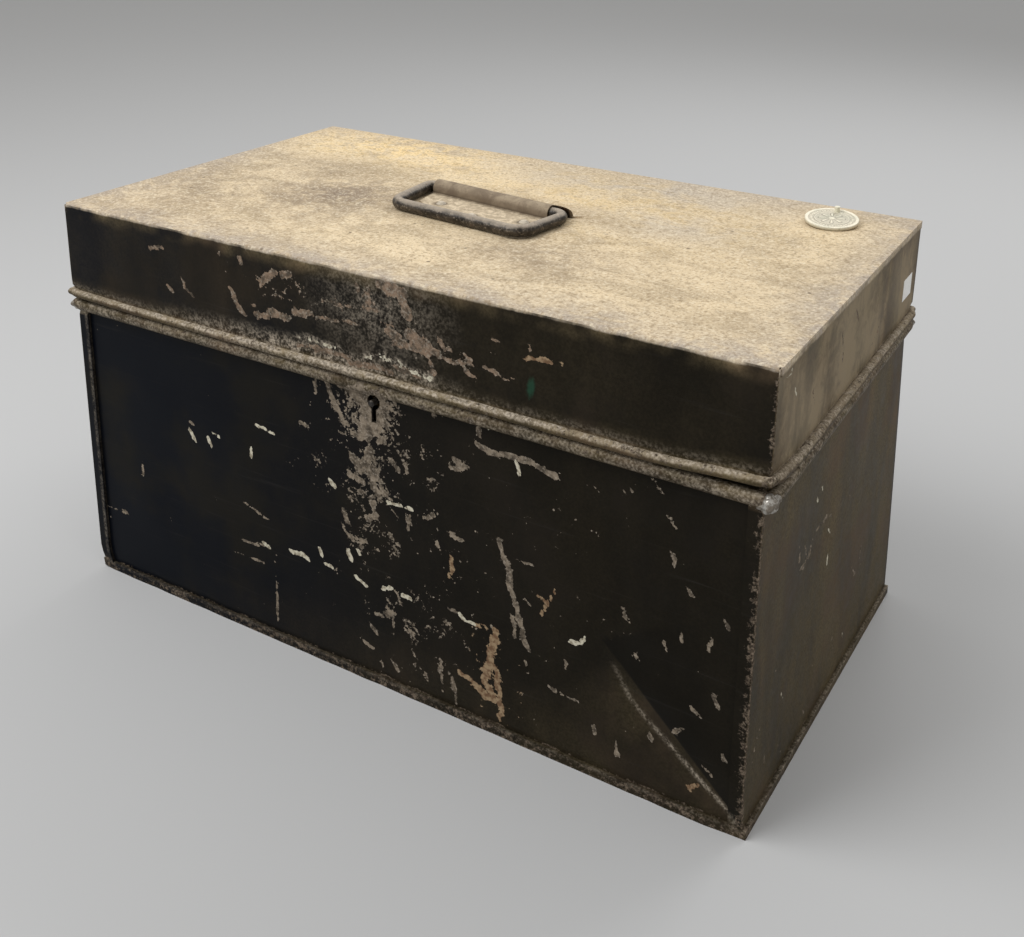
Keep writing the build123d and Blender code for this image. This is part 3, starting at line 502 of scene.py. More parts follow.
END_WEAR = {"bare": (
    (1.9, -15, 142, -41, 145, -63, 129), (1.8, -69, 132, -53, 132, -49, 139), (1.8, -62, 144, -57, 134),
    (1, -122, 62, -132, 46), (1.2, -44, 24, -38, 15), (1.2, 44, 74, 54, 62), (1.3, -88, 26, -80, 15),
    (1.1, 10, 42, 16, 28), (1.2, -74, 152, -70, 136), (1, 20, 150, 26, 128), (0.9, -104, 96, -99, 74),
    (1.1, -112, 40, -108, 22), (1, 60, 88, 66, 62), (1, -34, 266, -28, 246), (0.8, 38, 232, 92, 262),
    (1.3, -84, 250, -78, 240), (1, -10, 272, -2, 262),
), "cream": (
    (1.3, -20, 135, -14, 129), (1.4, 34, 30, 38, 22), (1.7, -16, 113, -13, 103), (1.3, -46, 168, -42, 160),
    (1.2, -38, 173, -34, 163), (1, -86, 60, -82, 54), (1.4, -130, 274, -122, 276),
    (1.1, -116, 264, -112, 258),
)}

WANDER, SOFT_EDGE = 1.1, 2.6


def smooth(value, low, high):
    """0 below low, 1 above high, and smooth between them."""
    share = np.clip((value - low) / (high - low), 0, 1)
    return share * share * (3 - 2 * share)


def fade(value, low, high):
    """1 below low, 0 above high, and smooth between them."""
    return 1 - smooth(value, low, high)


def hump(off, width):
    """1 where off is 0, falling to nothing about two widths away."""
    return np.exp(-(off / width) ** 2)


def most(*layers):
    """The largest layer at each point."""
    return functools.reduce(np.maximum, layers)


def cloud(x, y, z, size, seed=0.0):
    """Smooth noise in -1..1, its swells about size wide."""
    x, y, z = np.broadcast_arrays(x / size + seed, y / size, z / size)
    return np.array([noise.noise(Vector(point)) for point in zip(x, y, z)])


def near_line(u, v, line):
    """Distance from points (u, v) to a polyline, and how far along it the nearest point is (0 to 1)."""
    best = np.full(len(u), 1e9)
    along = np.zeros(len(u))
    runs = len(line) - 1
    for i, ((u0, v0), (u1, v1)) in enumerate(zip(line, line[1:])):
        du, dv = u1 - u0, v1 - v0
        share = np.clip(((u - u0) * du + (v - v0) * dv) / (du * du + dv * dv), 0, 1)
        far = np.hypot(u - u0 - share * du, v - v0 - share * dv)
        closer = far < best
        best[closer] = far[closer]
        along[closer] = (i + share[closer]) / runs
    return best, along


def stroke_cover(u, v, wear):
    """Cover by each kind of stroke: they wander a little off their lines, and swell and thin along them."""
    swell = 1.05 + 0.75 * cloud(u, v, 0.0, 5.0, 23.0)
    wander_u, wander_v = (WANDER * cloud(u, v, 0.0, 6.5, seed) for seed in (11.0, 17.0))
    u, v = u + wander_u, v + wander_v
    covers = {}
    for kind, strokes in wear.items():
        cover = np.zeros(len(u))
        for width, *line in strokes:
            far, _ = near_line(u, v, list(zip(line[::2], line[1::2])))
            cover = np.maximum(cover, np.clip(0.5 + (width / 2 * swell + 0.3 - far) / SOFT_EDGE, 0, 0.95))
        covers[kind] = cover
    return covers


def turned(u, v, angle):
    """Points (u, v) in axes that are turned by an angle."""
    c, s = math.cos(angle), math.sin(angle)
    return c * u + s * v, c * v - s * u


def spot(u, v, at, size, turn=0.0):
    """A soft oval: 1 at its middle, 0.5 on its edge, 0 well outside."""
    u, v = turned(u - at[0], v - at[1], math.radians(turn))
    return np.clip(1 - np.hypot(u / size[0], v / size[1]) * 0.5, 0, 1)


def spots(u, v, rows):
    """Several ovals, each with its own strength."""
    return most(*(strength * spot(u, v, at, size, turn) for strength, at, size, turn in rows))


# ---- how the sheet has bent ----
# The long crease on the front, from the near bottom corner up: points (x, z).
CREASE = ((246, 10), (223.7, 26.1), (180.7, 60.9), (159.6, 96.7))


def beside_crease(x, z):
    """Distance from the crease, how far up it (0 to 1), and whether a point lies below it."""
    far, along = near_line(x, z, CREASE)
    (x0, z0), (x1, z1) = CREASE[0], CREASE[-1]
    below = (z - z0) * (x1 - x0) - (x - x0) * (z1 - z0) > 0
    return far, along, below


def squeeze(x, y, z):
    """How far the ends have been pushed in near the rim: nothing at the foot, most at the right rear."""
    back_share = np.clip((y + 143) / 286, 0, 1)
    inward = np.where(x > 0, -6.0 * back_share, 2.6 - 1.2 * back_share)
    return inward * np.clip(z / 208, 0, 1) ** 1.2 * smooth(np.abs(x), 165, 250)


def round_corner(x, y, z):
    """The bead and the rim roll are hammered round at the corners."""
    share = smooth(np.abs(x), 245, 257) * smooth(np.abs(y), 134, 146) * smooth(z, 205, 208.5)
    share *= fade(z, 222, 226)
    return -np.sign(x) * 2.6 * share, -np.sign(y) * 2.0 * share


def swell_walls(out, x, y, z):
    """The body's walls bulge and sink between their stiff edges."""
    wall = smooth(z, 8, 40) * fade(z, 150, 176) * fade(np.abs(x), 205, 238)
    swell = cloud(x, np.sign(y) * 200, z, 95) * 1.5 + cloud(x, 7.0, z, 38) * 0.4
    out[:, 1] += np.where(np.abs(y) > 130, swell * wall, 0)
    wall_end = smooth(z, 8, 50) * fade(z, 160, 200) * fade(np.abs(y), 95, 130)
    inward = cloud(np.sign(x) * 300, y, z, 80) * 1.6
    out[:, 0] += np.where(np.abs(x) > 245, inward * wall_end, 0)


def crease_front(out, x, y, z):
    """The crease is a dent with a sharp ridge, and a hollow lies over it."""
    front = y < -130
    far, along, below = beside_crease(x, z)
    fall = np.where(below, 30.0, 20.0)
    ridge = np.exp(-far / fall) - np.exp(-1.0) * (far / fall)
    ridge = np.clip(ridge, 0, 1) * fade(along, 0.62, 1.0) * (0.35 + 0.65 * smooth(along, 0.0, 0.2))
    out[:, 1] += np.where(front, 1.9 * ridge * smooth(z, 3, 14), 0)
    hollow = spot(x, z, (205, 85), (55, 60)) * fade(x, 225, 243) * smooth(z, 8, 24)
    out[:, 1] += np.where(front, 0.9 * hollow * hollow, 0)


def knock_foot(out, x, y, z):
    """The front's foot corners are knocked in and its lower edge is wavy, no lower than the floor."""
    far_corner = smooth(-x, 222, 252) * smooth(-y, 110, 141) * fade(z, 0, 20)
    out[:, 0] += 4.5 * far_corner
    out[:, 2] += 1.2 * far_corner * smooth(-x, 240, 252)
    near_corner = smooth(x, 225, 252) * smooth(-y, 118, 141) * fade(z, 2, 26)
    out[:, 1] += 1.6 * near_corner
    out[:, 2] += 0.5 * near_corner * cloud(x, y, z, 9)
    foot = fade(z, 5, 12) * (y < -130)
    out[:, 1] += foot * (0.35 + 0.55 * cloud(x, 0.0, 0.0, 17))
    out[:, 2] = np.maximum(out[:, 2], 0)


def body_warp(p):
    """Where the body's points have got to: the box widens towards its foot, and every wall is dented."""
    x, y, z = p.T
    out = p.copy()
    corner_x, corner_y = round_corner(x, y, z)
    below_rim = np.clip(1 - z / 207.0, 0, 1)
    out[:, 0] = x * (1 + 0.0145 * below_rim) + squeeze(x, y, z) + corner_x
    out[:, 1] += corner_y
    swell_walls(out, x, y, z)
    crease_front(out, x, y, z)
    knock_foot(out, x, y, z)
    return out


def lid_warp(p):
    """Where the lid's points have got to: its rim rides up in front, its ends lean in and its top sags."""
    x, y, z = p.T
    out = p.copy()
    corner_x, corner_y = round_corner(x, y, z)
    out[:, 0] += squeeze(x, y, z) + corner_x
    out[:, 1] += corner_y
    rise = smooth(np.abs(x), 185, 252) * smooth(-y, 96, 143) * fade(z, 222, 249)
    out[:, 2] += np.where(x > 0, 3.3, 0.9) * rise
    lean = np.where(x > 0, 0.8, 1.2)
    out[:, 0] -= np.sign(x) * lean * smooth(z, 226, 284) * smooth(np.abs(x), 224, 253)

    # The top stays flat under the handle and the tag.
    clear = smooth(np.hypot((x + 7) / 82, (y - 8) / 52), 0.85, 1.25)
    clear *= smooth(np.hypot(x - 201.5, y - 100.5), 22, 44)
    top = smooth(z, 280, 283) * fade(np.abs(x), 236, 251) * fade(np.abs(y), 126, 140) * clear
    sag = 0.75 + 1.1 * np.clip(cloud(x, y, z, 85, 3.1), -0.6, 1)
    out[:, 2] -= top * (sag + 0.35 * np.clip(cloud(x, y, z, 26, 1.7), -1, 1))

    # The front stays flat where the lock's staple is sweated to it.
    front = y < -135
    side = smooth(z, 226, 240) * fade(z, 262, 280) * fade(np.abs(x), 215, 245)
    staple = smooth(np.abs(x - 32), 20, 60)
    swell = cloud(x, -90.0, z, 55, 5.0) * 0.9 + cloud(x, 0.0, z, 21) * 0.3
    out[:, 1] += np.where(front, swell * side * staple, 0)
    roll = fade(z, 221, 230) * front * fade(np.abs(x), 235, 250)
    out[:, 2] += roll * 0.45 * cloud(x, 31.0, 0.0, 34)
    return out


HANDLE_AT = (-7.5, 13.0, 284.0)
HANDLE_TURN = math.radians(-7.0)
TUNNEL_MIDDLE, TUNNEL_TOP = 4.4, 10.0
FLANGE_BACK = 16.0


def in_handle(p):
    """Points in the handle's own frame: along its pivot, backwards from it, and up from the lid."""
    along, back = turned(p[:, 0] - HANDLE_AT[0], p[:, 1] - HANDLE_AT[1], HANDLE_TURN)
    return along, back, p[:, 2] - HANDLE_AT[2]


def strap_warp(p):
    """The tunnel is uneven, and its back leg flares out to the right in one curling sweep."""
    along, back, up = in_handle(p)
    out = p.copy()
    flare = 6.0 * (1 - np.clip(up / TUNNEL_TOP, 0, 1) ** 1.6) * smooth(along, 47, 57)
    flare *= np.clip(back / 3, 0, 1) * np.clip((FLANGE_BACK - back) / 10.4, 0, 1)
    out[:, 0] -= math.sin(HANDLE_TURN) * flare
    out[:, 1] += math.cos(HANDLE_TURN) * flare
    out[:, 2] -= 0.3 * np.clip(0.5 + 0.8 * cloud(*p.T, 14), 0, 1) * smooth(up, 3, 6)
    return out


# ---- what is painted on each body ----
# Each function takes points as they were made and their normals, and gives three channels for each layer:
# "wear" is bare metal, rust and cream paint, the soil layer is the film of dirt, scuffs and pits, and its
# scuffs also hold painted highlights on tops and edges.
FACING = 0.4
BODY_LEFT, BODY_BACK = -249.9, 139.2
BEAD_LOW, BEAD_HIGH = 206.5, 217.5


def body_paint(p, n):
    """The body's wear and soil."""
    x, y, z = p.T
    upward = n[:, 2]
    broad, fine = cloud(x, y, z, 42), cloud(x, y, z, 13, 9.0)
    front = (n[:, 1] < -FACING) & (y < -138.9) | ((y < -139.0) & (z > 207))
    right = (n[:, 0] > FACING) & (x > 249.5)
    plain = (x < BODY_LEFT) | (y > BODY_BACK)
    outer = front | right | plain | (z < 0.5)
    bead = (z > BEAD_LOW) & (z < BEAD_HIGH) & ((np.abs(y) > 140.5) | (np.abs(x) > 251.5))
    from_crease, up_crease, below = beside_crease(x, z)
    on_front, on_end = stroke_cover(x, z, FRONT_WEAR), stroke_cover(y, z, END_WEAR)

    # Chips: thick round the keyhole and in a trail below it, thin elsewhere.
    trail = most(spot(x, z, (0, 150), (36, 66)) * (0.66 + 0.42 * fine),
                 spot(x, z, (8, 165), (70, 60)) * (0.56 + 0.30 * fine))
    bare = most(
        on_front["bare"],
        spot(x, z, (3, 196), (26, 30)) * 0.72 + 0.10 * fine,
        trail * 0.72,
        spot(x, z, (40, 60), (80, 60)) * (0.34 + 0.25 * fine),
        spot(x, z, (95, 110), (110, 100)) * (0.30 + 0.22 * broad),
        0.14 + 0.12 * broad * smooth(x, -150, 0))
    end_bare = most(on_end["bare"] * 0.9, 0.10 + 0.10 * fine)
    bare = np.where(front, bare, np.where(right, end_bare, 0))
    rust = most(on_front["rust"], spot(x, z, (88, 45), (22, 45)) * 0.42) * front
    cream = np.where(front, on_front["cream"], on_end["cream"] * 0.9 * right)

    # Pits: the front's seams, the foot and the bead.
    seam = (np.abs(x) > 242.5) & (y < -139)
    arris = smooth(np.abs(x), 249.2, 250.6) * (y < -141.0)
    pits = most(
        np.where(seam & (x > 0), 0.10 + 0.38 * smooth(x, 244, 248) + 0.18 * fine, 0.0),
        np.where(seam & (x < 0), 0.10, 0),
        arris * 0.62 * (x > 0),
        np.where((z < 7) & outer, 0.46 + 0.2 * fine, 0),
        np.where(bead, 0.36 + 0.15 * fine, 0))

    # Film: low on the front, paler below the crease and thinner just above it, so the front is lighter below
    # the crease and darker above it; all over the end, the bead and the inside.
    film = np.where(front, 0.010 + 0.035 * smooth(x, -120, 120), 0.0)
    film = most(film, front * 0.16 * fade(z, 8, 70) * smooth(x, -250, 200),
                front * below * np.exp(-from_crease / 45) * 0.24 * fade(up_crease, 0.6, 1))
    # Less film just above the crease, so the front is darker there than below it.
    less_film_above_crease = film * (1 - 0.9 * np.exp(-from_crease / 40) * (up_crease < 0.98))
    film = np.where(front & ~below, less_film_above_crease, film)
    end_film = 0.47 + 0.12 * smooth(y, -130, 60) - 0.09 * smooth(-z, -200, -60) + 0.14 * broad
    film = np.where(right, end_film, film)
    film = np.where(bead, 0.40 + 0.42 * smooth(upward, -0.1, 0.8) + 0.2 * fine, film)
    film = np.where(plain & ~bead, 0.17 + 0.08 * broad, film)
    film = np.where(outer | bead, film, 0.10 + 0.25 * smooth(upward, 0.3, 0.9))

    # Scuffs: the crease's ridge, the foot's lip and the bead's outer lip. The bright line on the left seam's
    # edge is a painted highlight, and the bead's up-facing top is worn metal with a painted highlight.
    scuff_and_highlight = most(
        front * hump(from_crease, 1.3) * fade(up_crease, 0.5, 0.95) * (0.70 + 0.35 * fine),
        hump(x + 243.4, 0.9) * (y < -140) * smooth(z, 8, 20) * 0.5,
        hump(z - 5.6, 0.9) * (y < -140.5) * (0.30 + 0.3 * fine),
        hump(z - 6, 1.6) * (x > 250.8) * (0.70 + 0.3 * fine),
        bead * smooth(np.abs(y), 144.6, 145.8) * 0.5,
        bead * smooth(np.abs(x), 255.8, 256.8) * 0.5,
        bead * smooth(upward, 0.15, 0.85) * 0.8)
    return {"wear": (bare, rust, cream), "soil_and_highlight": (film, scuff_and_highlight, pits)}


LID_FACE, LID_END = 142.4, 252.3
ROLL_TOP, LID_TOP = 223.6, 283.2
# Stains on the lid's top: strength, middle (x, y), half size and turn in degrees.
DARK_STAINS = ((1, (-112, -18), (46, 44), 20), (0.55, (-160, 30), (40, 30), 0),
               (0.6, (70, -60), (40, 26), 0), (0.55, (-205, -70), (50, 60), 0), (0.7, (20, 30), (60, 12), -7))
BLUE_STAINS = ((1, (60, 112), (80, 26), 0), (0.7, (120, 40), (50, 24), 0))
YELLOW_STAINS = ((1, (-150, 108), (90, 34), 0), (0.5, (40, 60), (120, 60), 0))


def lid_paint(p, n):
    """The lid's; "tone": rusty top, dark and blue stains, "tone_more": yellow stains, green, worn rim."""
    x, y, z = p.T
    upward = n[:, 2]
    broad, fine = cloud(x, y, z, 42, 2.0), cloud(x, y, z, 12, 4.0)
    front, back = y < -LID_FACE, y > LID_FACE
    right, ends = x > LID_END, np.abs(x) > LID_END
    shell = (np.abs(y) > LID_FACE) | (np.abs(x) > 252.0) | (z > 283.4)
    roll = (z < ROLL_TOP) & ((np.abs(y) > 142.2) | (np.abs(x) > 252.2))
    on_front, on_end = stroke_cover(x, z, LID_WEAR), stroke_cover(y, z, END_WEAR)

    # Chips: thick in patches over the keyhole, thin elsewhere.
    patches = most(spot(x, z, (12, 268), (40, 18)), spot(x, z, (-60, 262), (42, 20)))
    chance = most(patches * (0.36 + 0.30 * fine),
                  spot(x, z, (40, 252), (46, 16), -14) * (0.42 + 0.3 * fine),
                  0.12 + 0.14 * broad * smooth(x, -200, -60) * fade(x, 60, 150))
    end_bare = most(on_end["bare"] * 0.9, 0.12 + 0.1 * fine)
    bare = most(on_front["bare"] * front, chance * front, right * end_bare)
    rust = on_front["rust"] * front
    crust = front * on_front["scuffed"] * (0.50 + 0.15 * fine)
    cream = most(right * on_end["cream"] * 0.9, crust)

    pits = most(
        np.where(roll, 0.34 + 0.16 * fine, 0),
        smooth(np.abs(x), 246.5, 252.4) * front * (0.50 + 0.2 * fine) * (x > 0) * (z < 279),
        (x > 252.0) * fade(y, -142, -138) * 0.36,
        smooth(np.abs(x), 250.2, 252.6) * front * 0.25 * (x < 0))

    # Film: under the top's front edge, over the roll and all over the ends.
    haze = np.clip(0.30 + 0.55 * fine + 0.45 * broad + 0.40 * spot(x, z, (-15, 280), (60, 16)), 0, 0.95)
    film = most(np.where(front, 0.07 + 0.05 * broad, 0.0), front * fade(z, 223, 238) * 0.20,
                front * smooth(z, 270, 283.5) * haze)
    film = np.where(ends & ~roll, 0.98 + 0.30 * broad - 0.72 * (x < 0), film)
    film = np.where(roll, 0.62 + 0.42 * smooth(upward, -0.2, 0.8) + 0.15 * fine, film)
    film = np.where(back & ~roll, 0.20 + 0.08 * broad, film)
    film = np.where(shell | roll, film, 0.08)

    # Scuffs: the ledge over the roll and the patch over the keyhole. The roll's up-facing top, brightest in
    # the middle, is worn metal with a painted highlight.
    ledge = spot(x, z, (-40, 226), (62, 12)) * 0.95 + 0.25 * smooth(z, 221, 224) * fade(z, 224, 229)
    scuff_and_highlight = most(
        front * smooth(-z, -236, -226) * ledge,
        spot(x, z, (14, 262), (30, 20)) * 0.45 * front,
        front * on_front["scuffed"] * (0.80 + 0.4 * fine),
        roll * smooth(upward, -0.1, 0.7) * (0.95 + 0.6 * spot(x, z, (0, 222), (90, 30))))

    # The top: rust and dust up to and a little over its edges, worn to grey near them.
    arris = most(smooth(z, 279.6, 282.6) * front, smooth(z, 277.8, 280.0) * (np.abs(x) > 252.4) * 1.08,
                 smooth(z, 279.6, 282.6) * back)
    top = most(np.where((z > LID_TOP) & (upward > 0.3), 1.0, 0.0), arris * (0.60 + 0.22 * fine))
    from_edge = np.minimum(np.minimum(143 - np.abs(y), 253 - np.abs(x)), 143 + y + 18 * (x < -120))
    rim = fade(from_edge, 0, 48) * (0.75 + 0.6 * broad) + 0.5 * fade(from_edge, 0, 6)
    green = spot(x, z, (116, 240), (3.2, 8), -8) * front
    return {"wear": (bare, rust, cream), "soil_and_highlight": (film, scuff_and_highlight, pits),
            "tone": (top, spots(x, y, DARK_STAINS), spots(x, y, BLUE_STAINS)),
            "tone_more": (spots(x, y, YELLOW_STAINS), green, np.clip(rim, 0, 1))}


# The strap's rivets in the handle's frame: (along, back).
RIVETS_AT = ((-27, -22), (7, -30.5), (42, -19.5), (-40, 11), (2, 11), (46, 11))
RIVET_RADIUS = 3.7


def strap_paint(p, n):
    """Only "tone": the tunnel's inside, where painted shade goes, the flanges, and the painted shade at its
    foot and round the rivets.
    """
    along, back, up = in_handle(p)
    inside = np.hypot(back, np.maximum(up - TUNNEL_MIDDLE, 0)) < 5.0
    flange = (up < 2) & (np.abs(back) > 5.3)
    shade = 0.55 * hump(np.abs(back) - 6.0, 1.3) * (up < 2.5)
    for rivet_along, rivet_back in RIVETS_AT:
        off = np.hypot(along - rivet_along, back - rivet_back + 0.6) - RIVET_RADIUS
        shade = most(shade, 0.85 * hump(off, 1.1) * flange)
    return {"tone": (inside, flange, shade)}


# ---- sheet pieces ----
SHEET_SHARP = 32


def store(mesh, name, channels):
    layer = mesh.color_attributes.new(name, "FLOAT_COLOR", "POINT")
    values = np.ones((len(mesh.vertices), 4), dtype=np.float32)
    for i, channel in enumerate(channels):
        values[:, i] = channel
    layer.data.foreach_set("color", values.ravel())


def as_mesh(bm, name):
    mesh = bpy.data.meshes.new(name)
    bm.to_mesh(mesh)
    bm.free()
    return mesh


def read_points(mesh, what):
    values = np.empty(len(mesh.vertices) * 3, dtype=np.float32)
    mesh.vertices.foreach_get(what, values)
    return values.reshape(-1, 3)


def finely_cut(node, steps):
    """The node's own shape, cut into small faces so it can carry dents and painted wear."""
    source = NODES[node]
    bm = bmesh.new()
    bm.from_mesh(source.data)
    bm.transform(source.matrix_world)
    bmesh.ops.remove_doubles(bm, verts=bm.verts, dist=1e-6)
    bmesh.ops.dissolve_limit(bm, angle_limit=math.radians(0.4), verts=bm.verts, edges=bm.edges)
    for axis, step in enumerate(steps):
        if not step:
            continue
        ahead = Vector([float(i == axis) for i in range(3)])
        places = [v.co[axis] for v in bm.verts]
        low, high = min(places), max(places)
        count = math.ceil((high - low) / (step * MM))
        for i in range(1, count):
            at = low + (high - low) * i / count
            geometry = bm.verts[:] + bm.edges[:] + bm.faces[:]
            bmesh.ops.bisect_plane(bm, geom=geometry, dist=2e-6, plane_co=ahead * at, plane_no=ahead)
    return bm


def sheet_piece(name, node, body, steps, warp, paint, material):
    """A CAD node's own shape, cut at steps along x, y and z, painted straight and then bent."""
    mesh = as_mesh(finely_cut(node, steps), name)
    places = read_points(mesh, "co").astype(float) / MM
    for layer, channels in paint(places, read_points(mesh, "normal")).items():
        store(mesh, layer, channels)
    mesh.vertices.foreach_set("co", (warp(places) * MM).astype(np.float32).ravel())
    mesh.shade_smooth()
    mesh.set_sharp_from_angle(angle=math.radians(SHEET_SHARP))
    mesh.materials.append(material)
    piece = link_object(name, mesh)
    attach(piece, body)
    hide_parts(node)


# A lump of solder's drops: place from its middle (outwards, along the box's end, up) and radius.
SOLDER_DROPS = (((0, 0, 0), 4.4), ((-4.2, 0.6, -1.6), 3.3), ((0.4, 4.6, 0.8), 3.4), ((-1.6, 1.2, -3.6), 3.0),
                ((-6.6, 0.2, 0.8), 2.2), ((0.6, 8.0, -0.6), 2.4), ((-0.8, 0.8, 3.2), 2.6))
SOLDER_VOXEL = 0.55
# The solder stays inside these, in metres.
BOX_X, BOX_Y = 0.2589, 0.1479


def solder_lump(name, at, seed, size, material):
    """A corner's lump of solder: run-together drops, melted into one skin and left uneven."""
    bm = bmesh.new()
    toward = Vector((math.copysign(1, at[0]), math.copysign(1, -at[1]), 1))
    for offset, radius in SOLDER_DROPS:
        middle = Vector(at) + Vector([o * s for o, s in zip(offset, toward)]) * size
        matrix = Matrix.Translation(middle * MM) @ Matrix.Diagonal((1, 1, 0.92, 1))
        bmesh.ops.create_icosphere(bm, subdivisions=3, radius=radius * size * MM, matrix=matrix)
    piece = link_object(name, as_mesh(bm, name))
    melt = piece.modifiers.new("melt", "REMESH")
    melt.mode = "VOXEL"
    melt.voxel_size = SOLDER_VOXEL * MM
    settle = piece.modifiers.new("settle", "SMOOTH")
    settle.iterations = 3
    shape = bpy.data.meshes.new_from_object(piece.evaluated_get(bpy.context.evaluated_depsgraph_get()))
    piece.modifiers.clear()
    for v in shape.vertices:
        ripple = noise.noise(v.co / (3.4 * MM) + Vector((seed, 0, 0))) + 0.4 * noise.noise(v.co / (1.4 * MM))
        v.co += v.normal * ripple * 0.8 * MM
        v.co.x = max(-BOX_X, min(BOX_X, v.co.x))
        v.co.y = max(-BOX_Y, min(BOX_Y, v.co.y))
    piece.data = shape
    shape.shade_smooth()
    shape.materials.append(material)
    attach(piece, "body")
    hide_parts("bead_solder")


# ---- the round tag ----
RINGS, SPOKES = 58, 192
BEADS, PETALS = 44, 8
TAG_SHARE = 0.93
TAG_SHIFT = (-2.8, -0.8, 0)
TAG_SHARP = 50


def tag_height(radius, angle):
    """Height in mm over the tag's field: a raised rim, a ring of beads, a plain ring and a small rosette."""
    radius = radius / TAG_SHARE
    height = 0.42 * smooth(radius, 16.0, 16.5) + 0.22 * fade(np.abs(radius - 11.9), 0.2, 0.55)
    step = 2 * math.pi / BEADS
    off = (np.mod(angle, step) - step / 2) * radius
    far = np.hypot(off, radius - 14.2)
    height = height + 0.36 * np.sqrt(np.clip(1 - (far / 0.8) ** 2, 0, 1))
    petal = np.clip(np.cos(angle * PETALS), 0, 1) * smooth(radius, 2.6, 4) * fade(radius, 8.2, 10.2)
    return height + 0.26 * petal + 0.30 * fade(radius, 1.6, 2.4)


def make_tag(material):
    """The round tag, struck with a rim, beads and a rosette, a little smaller than the CAD's disc."""
    source = NODES["tag_disc"]
    points = np.array([source.matrix_world @ v.co for v in source.data.vertices])
    centre = points.mean(0)
    _, _, axes = np.linalg.svd(points - centre, full_matrices=False)
    upward = axes[2] * np.sign(axes[2][2])
    peg_low, peg_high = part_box("tag_peg")
    along = np.array((peg_low + peg_high) / 2) - centre
    along -= upward * (along @ upward)
    along /= np.linalg.norm(along)
    across = np.cross(upward, along)
    levels = (points - centre) @ upward
    top = levels.max() / MM - 0.45
    bottom = levels.min() / MM
    reach = np.linalg.norm((points - centre) - np.outer(levels, upward), axis=1).max() / MM * TAG_SHARE
    sideways = np.array(TAG_SHIFT) * MM
    centre = centre + sideways - upward * (sideways @ upward)
    bm = bmesh.new()
    relief = bm.verts.layers.float_color.new("relief")

    def ring(radius, height_at, grime_at):
        row = []
        for k in range(SPOKES):
            angle = 2 * math.pi * k / SPOKES
            height = height_at(radius, angle)
            outward = across * math.cos(angle) * radius + along * math.sin(angle) * radius
            vert = bm.verts.new(centre + (outward + upward * height) * MM)
            grime = grime_at(height)
            vert[relief] = (grime, grime, grime, 1)
            row.append(vert)
        return row

    def level(value):
        return lambda *_: value

    def field(radius, angle):
        return top + float(tag_height(np.float64(radius), np.float64(angle)))

    def field_grime(height):
        """Grime lies on the field, and thickest just at the foot of what is raised."""
        above = height - top
        return 0.26 * (above < 0.03) + 0.9 * math.exp(-((above - 0.10) / 0.07) ** 2)

    rows = [ring((reach - 0.35) * (i + 1) / RINGS, field, field_grime) for i in range(RINGS)]
    rows.append(ring(reach, level(top + 0.12), level(0.2)))
    rows.append(ring(reach, level(bottom + 0.3), level(0.5)))
    rows.append(ring(reach - 0.3, level(bottom), level(0.5)))
    for inner, outer in zip(rows, rows[1:]):
        for k in range(SPOKES):
            j = (k + 1) % SPOKES
            bm.faces.new((inner[k], outer[k], outer[j], inner[j]))
    bm.faces.new(rows[0])
    bm.faces.new(tuple(reversed(rows[-1])))
    bmesh.ops.recalc_face_normals(bm, faces=bm.faces)
    mesh = as_mesh(bm, "tag_face")
    mesh.shade_smooth()
    mesh.set_sharp_from_angle(angle=math.radians(TAG_SHARP))
    mesh.materials.append(material)
    piece = link_object("tag_face", mesh)
    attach(piece, "lid")
    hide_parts("tag_disc")


# ---- floor and light ----
FLOOR_HALF = 6.0
FLOOR_COLOUR, FLOOR_ROUGH = (0.54, 0.545, 0.55), 0.9
SKY_COLOUR, SKY_STRENGTH = (1.0, 0.985, 0.96, 1), 0.52
# Name, place, what it points at and size, in metres, then watts.
LAMPS = (("key", (-0.7, -0.9, 1.7), (0, 0, 0.15), (1.2, 1.2), 22),
         ("back", (0.3, 1.6, 1.6), (0, 0, 0.2), (1.6, 1.0), 14))


def make_stage():
    mesh = bpy.data.meshes.new("floor")
    corners = [(x * FLOOR_HALF, y * FLOOR_HALF, 0) for x, y in ((-1, -1), (1, -1), (1, 1), (-1, 1))]
    mesh.from_pydata(corners, [], [(0, 1, 2, 3)])
    mesh.materials.append(Tree("floor").finish(FLOOR_COLOUR, FLOOR_ROUGH))
    floor = link_object("floor", mesh)


def make_lights():
    world = bpy.data.worlds.new("studio")
    bpy.context.scene.world = world
    world.use_nodes = True
    background = world.node_tree.nodes["Background"]
    background.inputs["Color"].default_value = SKY_COLOUR
    background.inputs["Strength"].default_value = SKY_STRENGTH
    for name, at, target, size, power in LAMPS:
        data = bpy.data.lights.new(name, "AREA")
        data.shape = "RECTANGLE"
        data.size, data.size_y = size
        data.energy = power
        lamp = link_object(name, data)
        lamp.location = at
        lamp.rotation_euler = (Vector(target) - Vector(at)).to_track_quat("-Z", "Y").to_euler()


make_camera()
make_stage()
make_lights()
bpy.context.scene.view_settings.view_transform = "Standard"

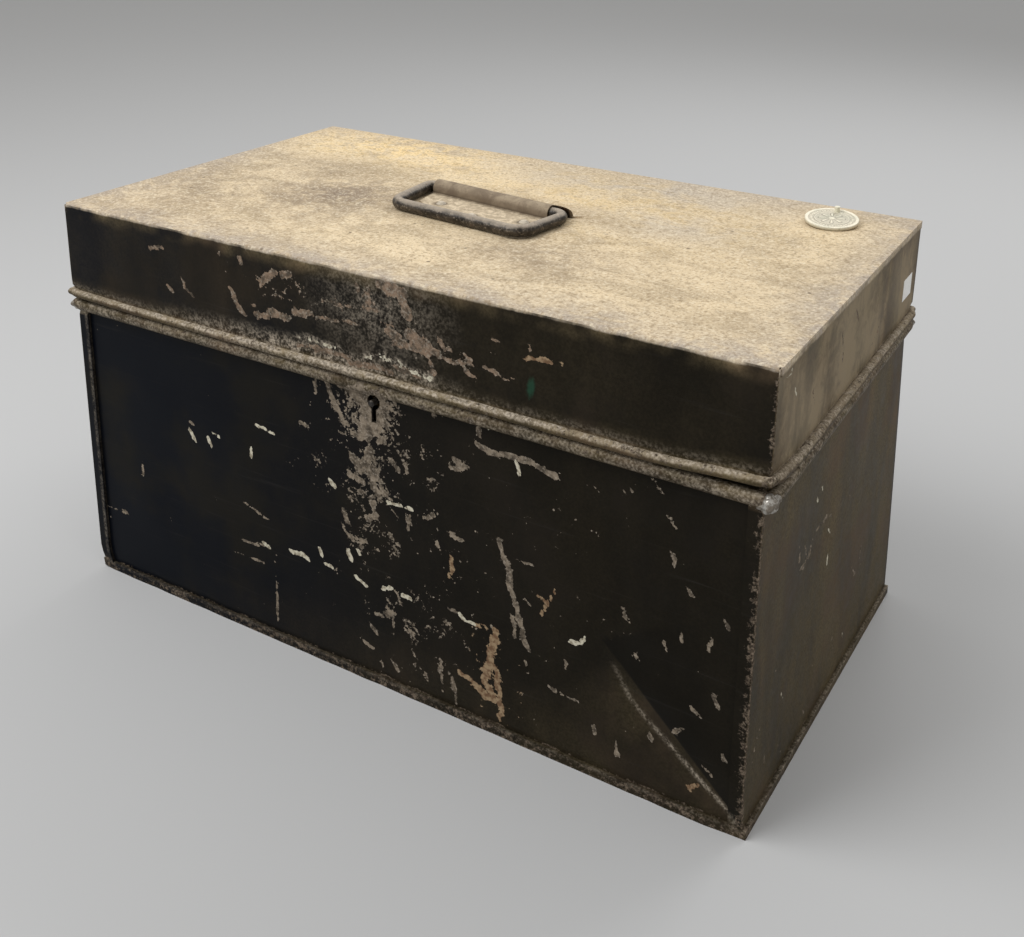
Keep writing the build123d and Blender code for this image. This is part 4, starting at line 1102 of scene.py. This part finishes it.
MATERIALS = {name: make_iron(name, *look) for name, look in IRONS.items()}
MATERIALS.update(japanned=make_japanned(), lid_japanned=make_lid_japanned(), strap_iron=make_strap(),
                 solder=make_solder(), tag_metal=make_tag_metal(), paper=make_paper())
for row in frame["record"]["subparts"]:
    look = "rivet_iron" if row["node"] == "handle_rivets" else row["material_slot"]
    for place in NODES[row["node"]].material_slots:
        place.material = MATERIALS[look]

# Name, CAD node and the cuts' spacing along x, y, z (0: none).
BODY_SHEETS = (("front_sheet", "front_panel", (2, 0, 2)), ("back_sheet", "back_panel", (7, 0, 6)),
               ("left_end_sheet", "left_end", (2, 6, 6)), ("right_end_sheet", "right_end", (2, 3, 3)),
               ("bottom_sheet", "bottom_panel", (12, 12, 1.5)))
# The same, with each sheet's own material slot.
LID_SHEETS = (("lid_cap", "lid_sheet", (2.2, 8, 1.7), "lid_japanned"),
              ("lid_left_cheek", "lid_left_end", (0, 6, 4), "lid_japanned"),
              ("lid_right_cheek", "lid_right_end", (0, 2.5, 2.2), "lid_japanned"),
              ("lid_rim_wire", "lid_wire", (6, 6, 0), "iron"))
# Corner, middle of the lump, a seed for its ripples and its size.
SOLDER_AT = (("front_right", (253.6, -142.6, 211.2), 1, 1), ("front_left", (-250.8, -142.4, 211.5), 4, 0.62),
             ("back_right", (247.4, 142.4, 211.5), 7, 0.7), ("back_left", (-251, 142.4, 211.5), 9, 0.7))

for name, node, steps in BODY_SHEETS:
    sheet_piece(name, node, "body", steps, body_warp, body_paint, MATERIALS["japanned"])
for corner, at, seed, size in SOLDER_AT:
    solder_lump("solder_" + corner, at, seed, size, MATERIALS["solder"])
for name, node, steps, slot in LID_SHEETS:
    sheet_piece(name, node, "lid", steps, lid_warp, lid_paint, MATERIALS[slot])
sheet_piece("strap_sheet", "handle_strap", "lid", (1.6, 1.6, 1.2), strap_warp, strap_paint,
            MATERIALS["strap_iron"])
make_tag(MATERIALS["tag_metal"])
sheet_piece("label_paper", "paper_label", "lid", (0, 1, 1), lid_warp, lid_paint, MATERIALS["paper"])
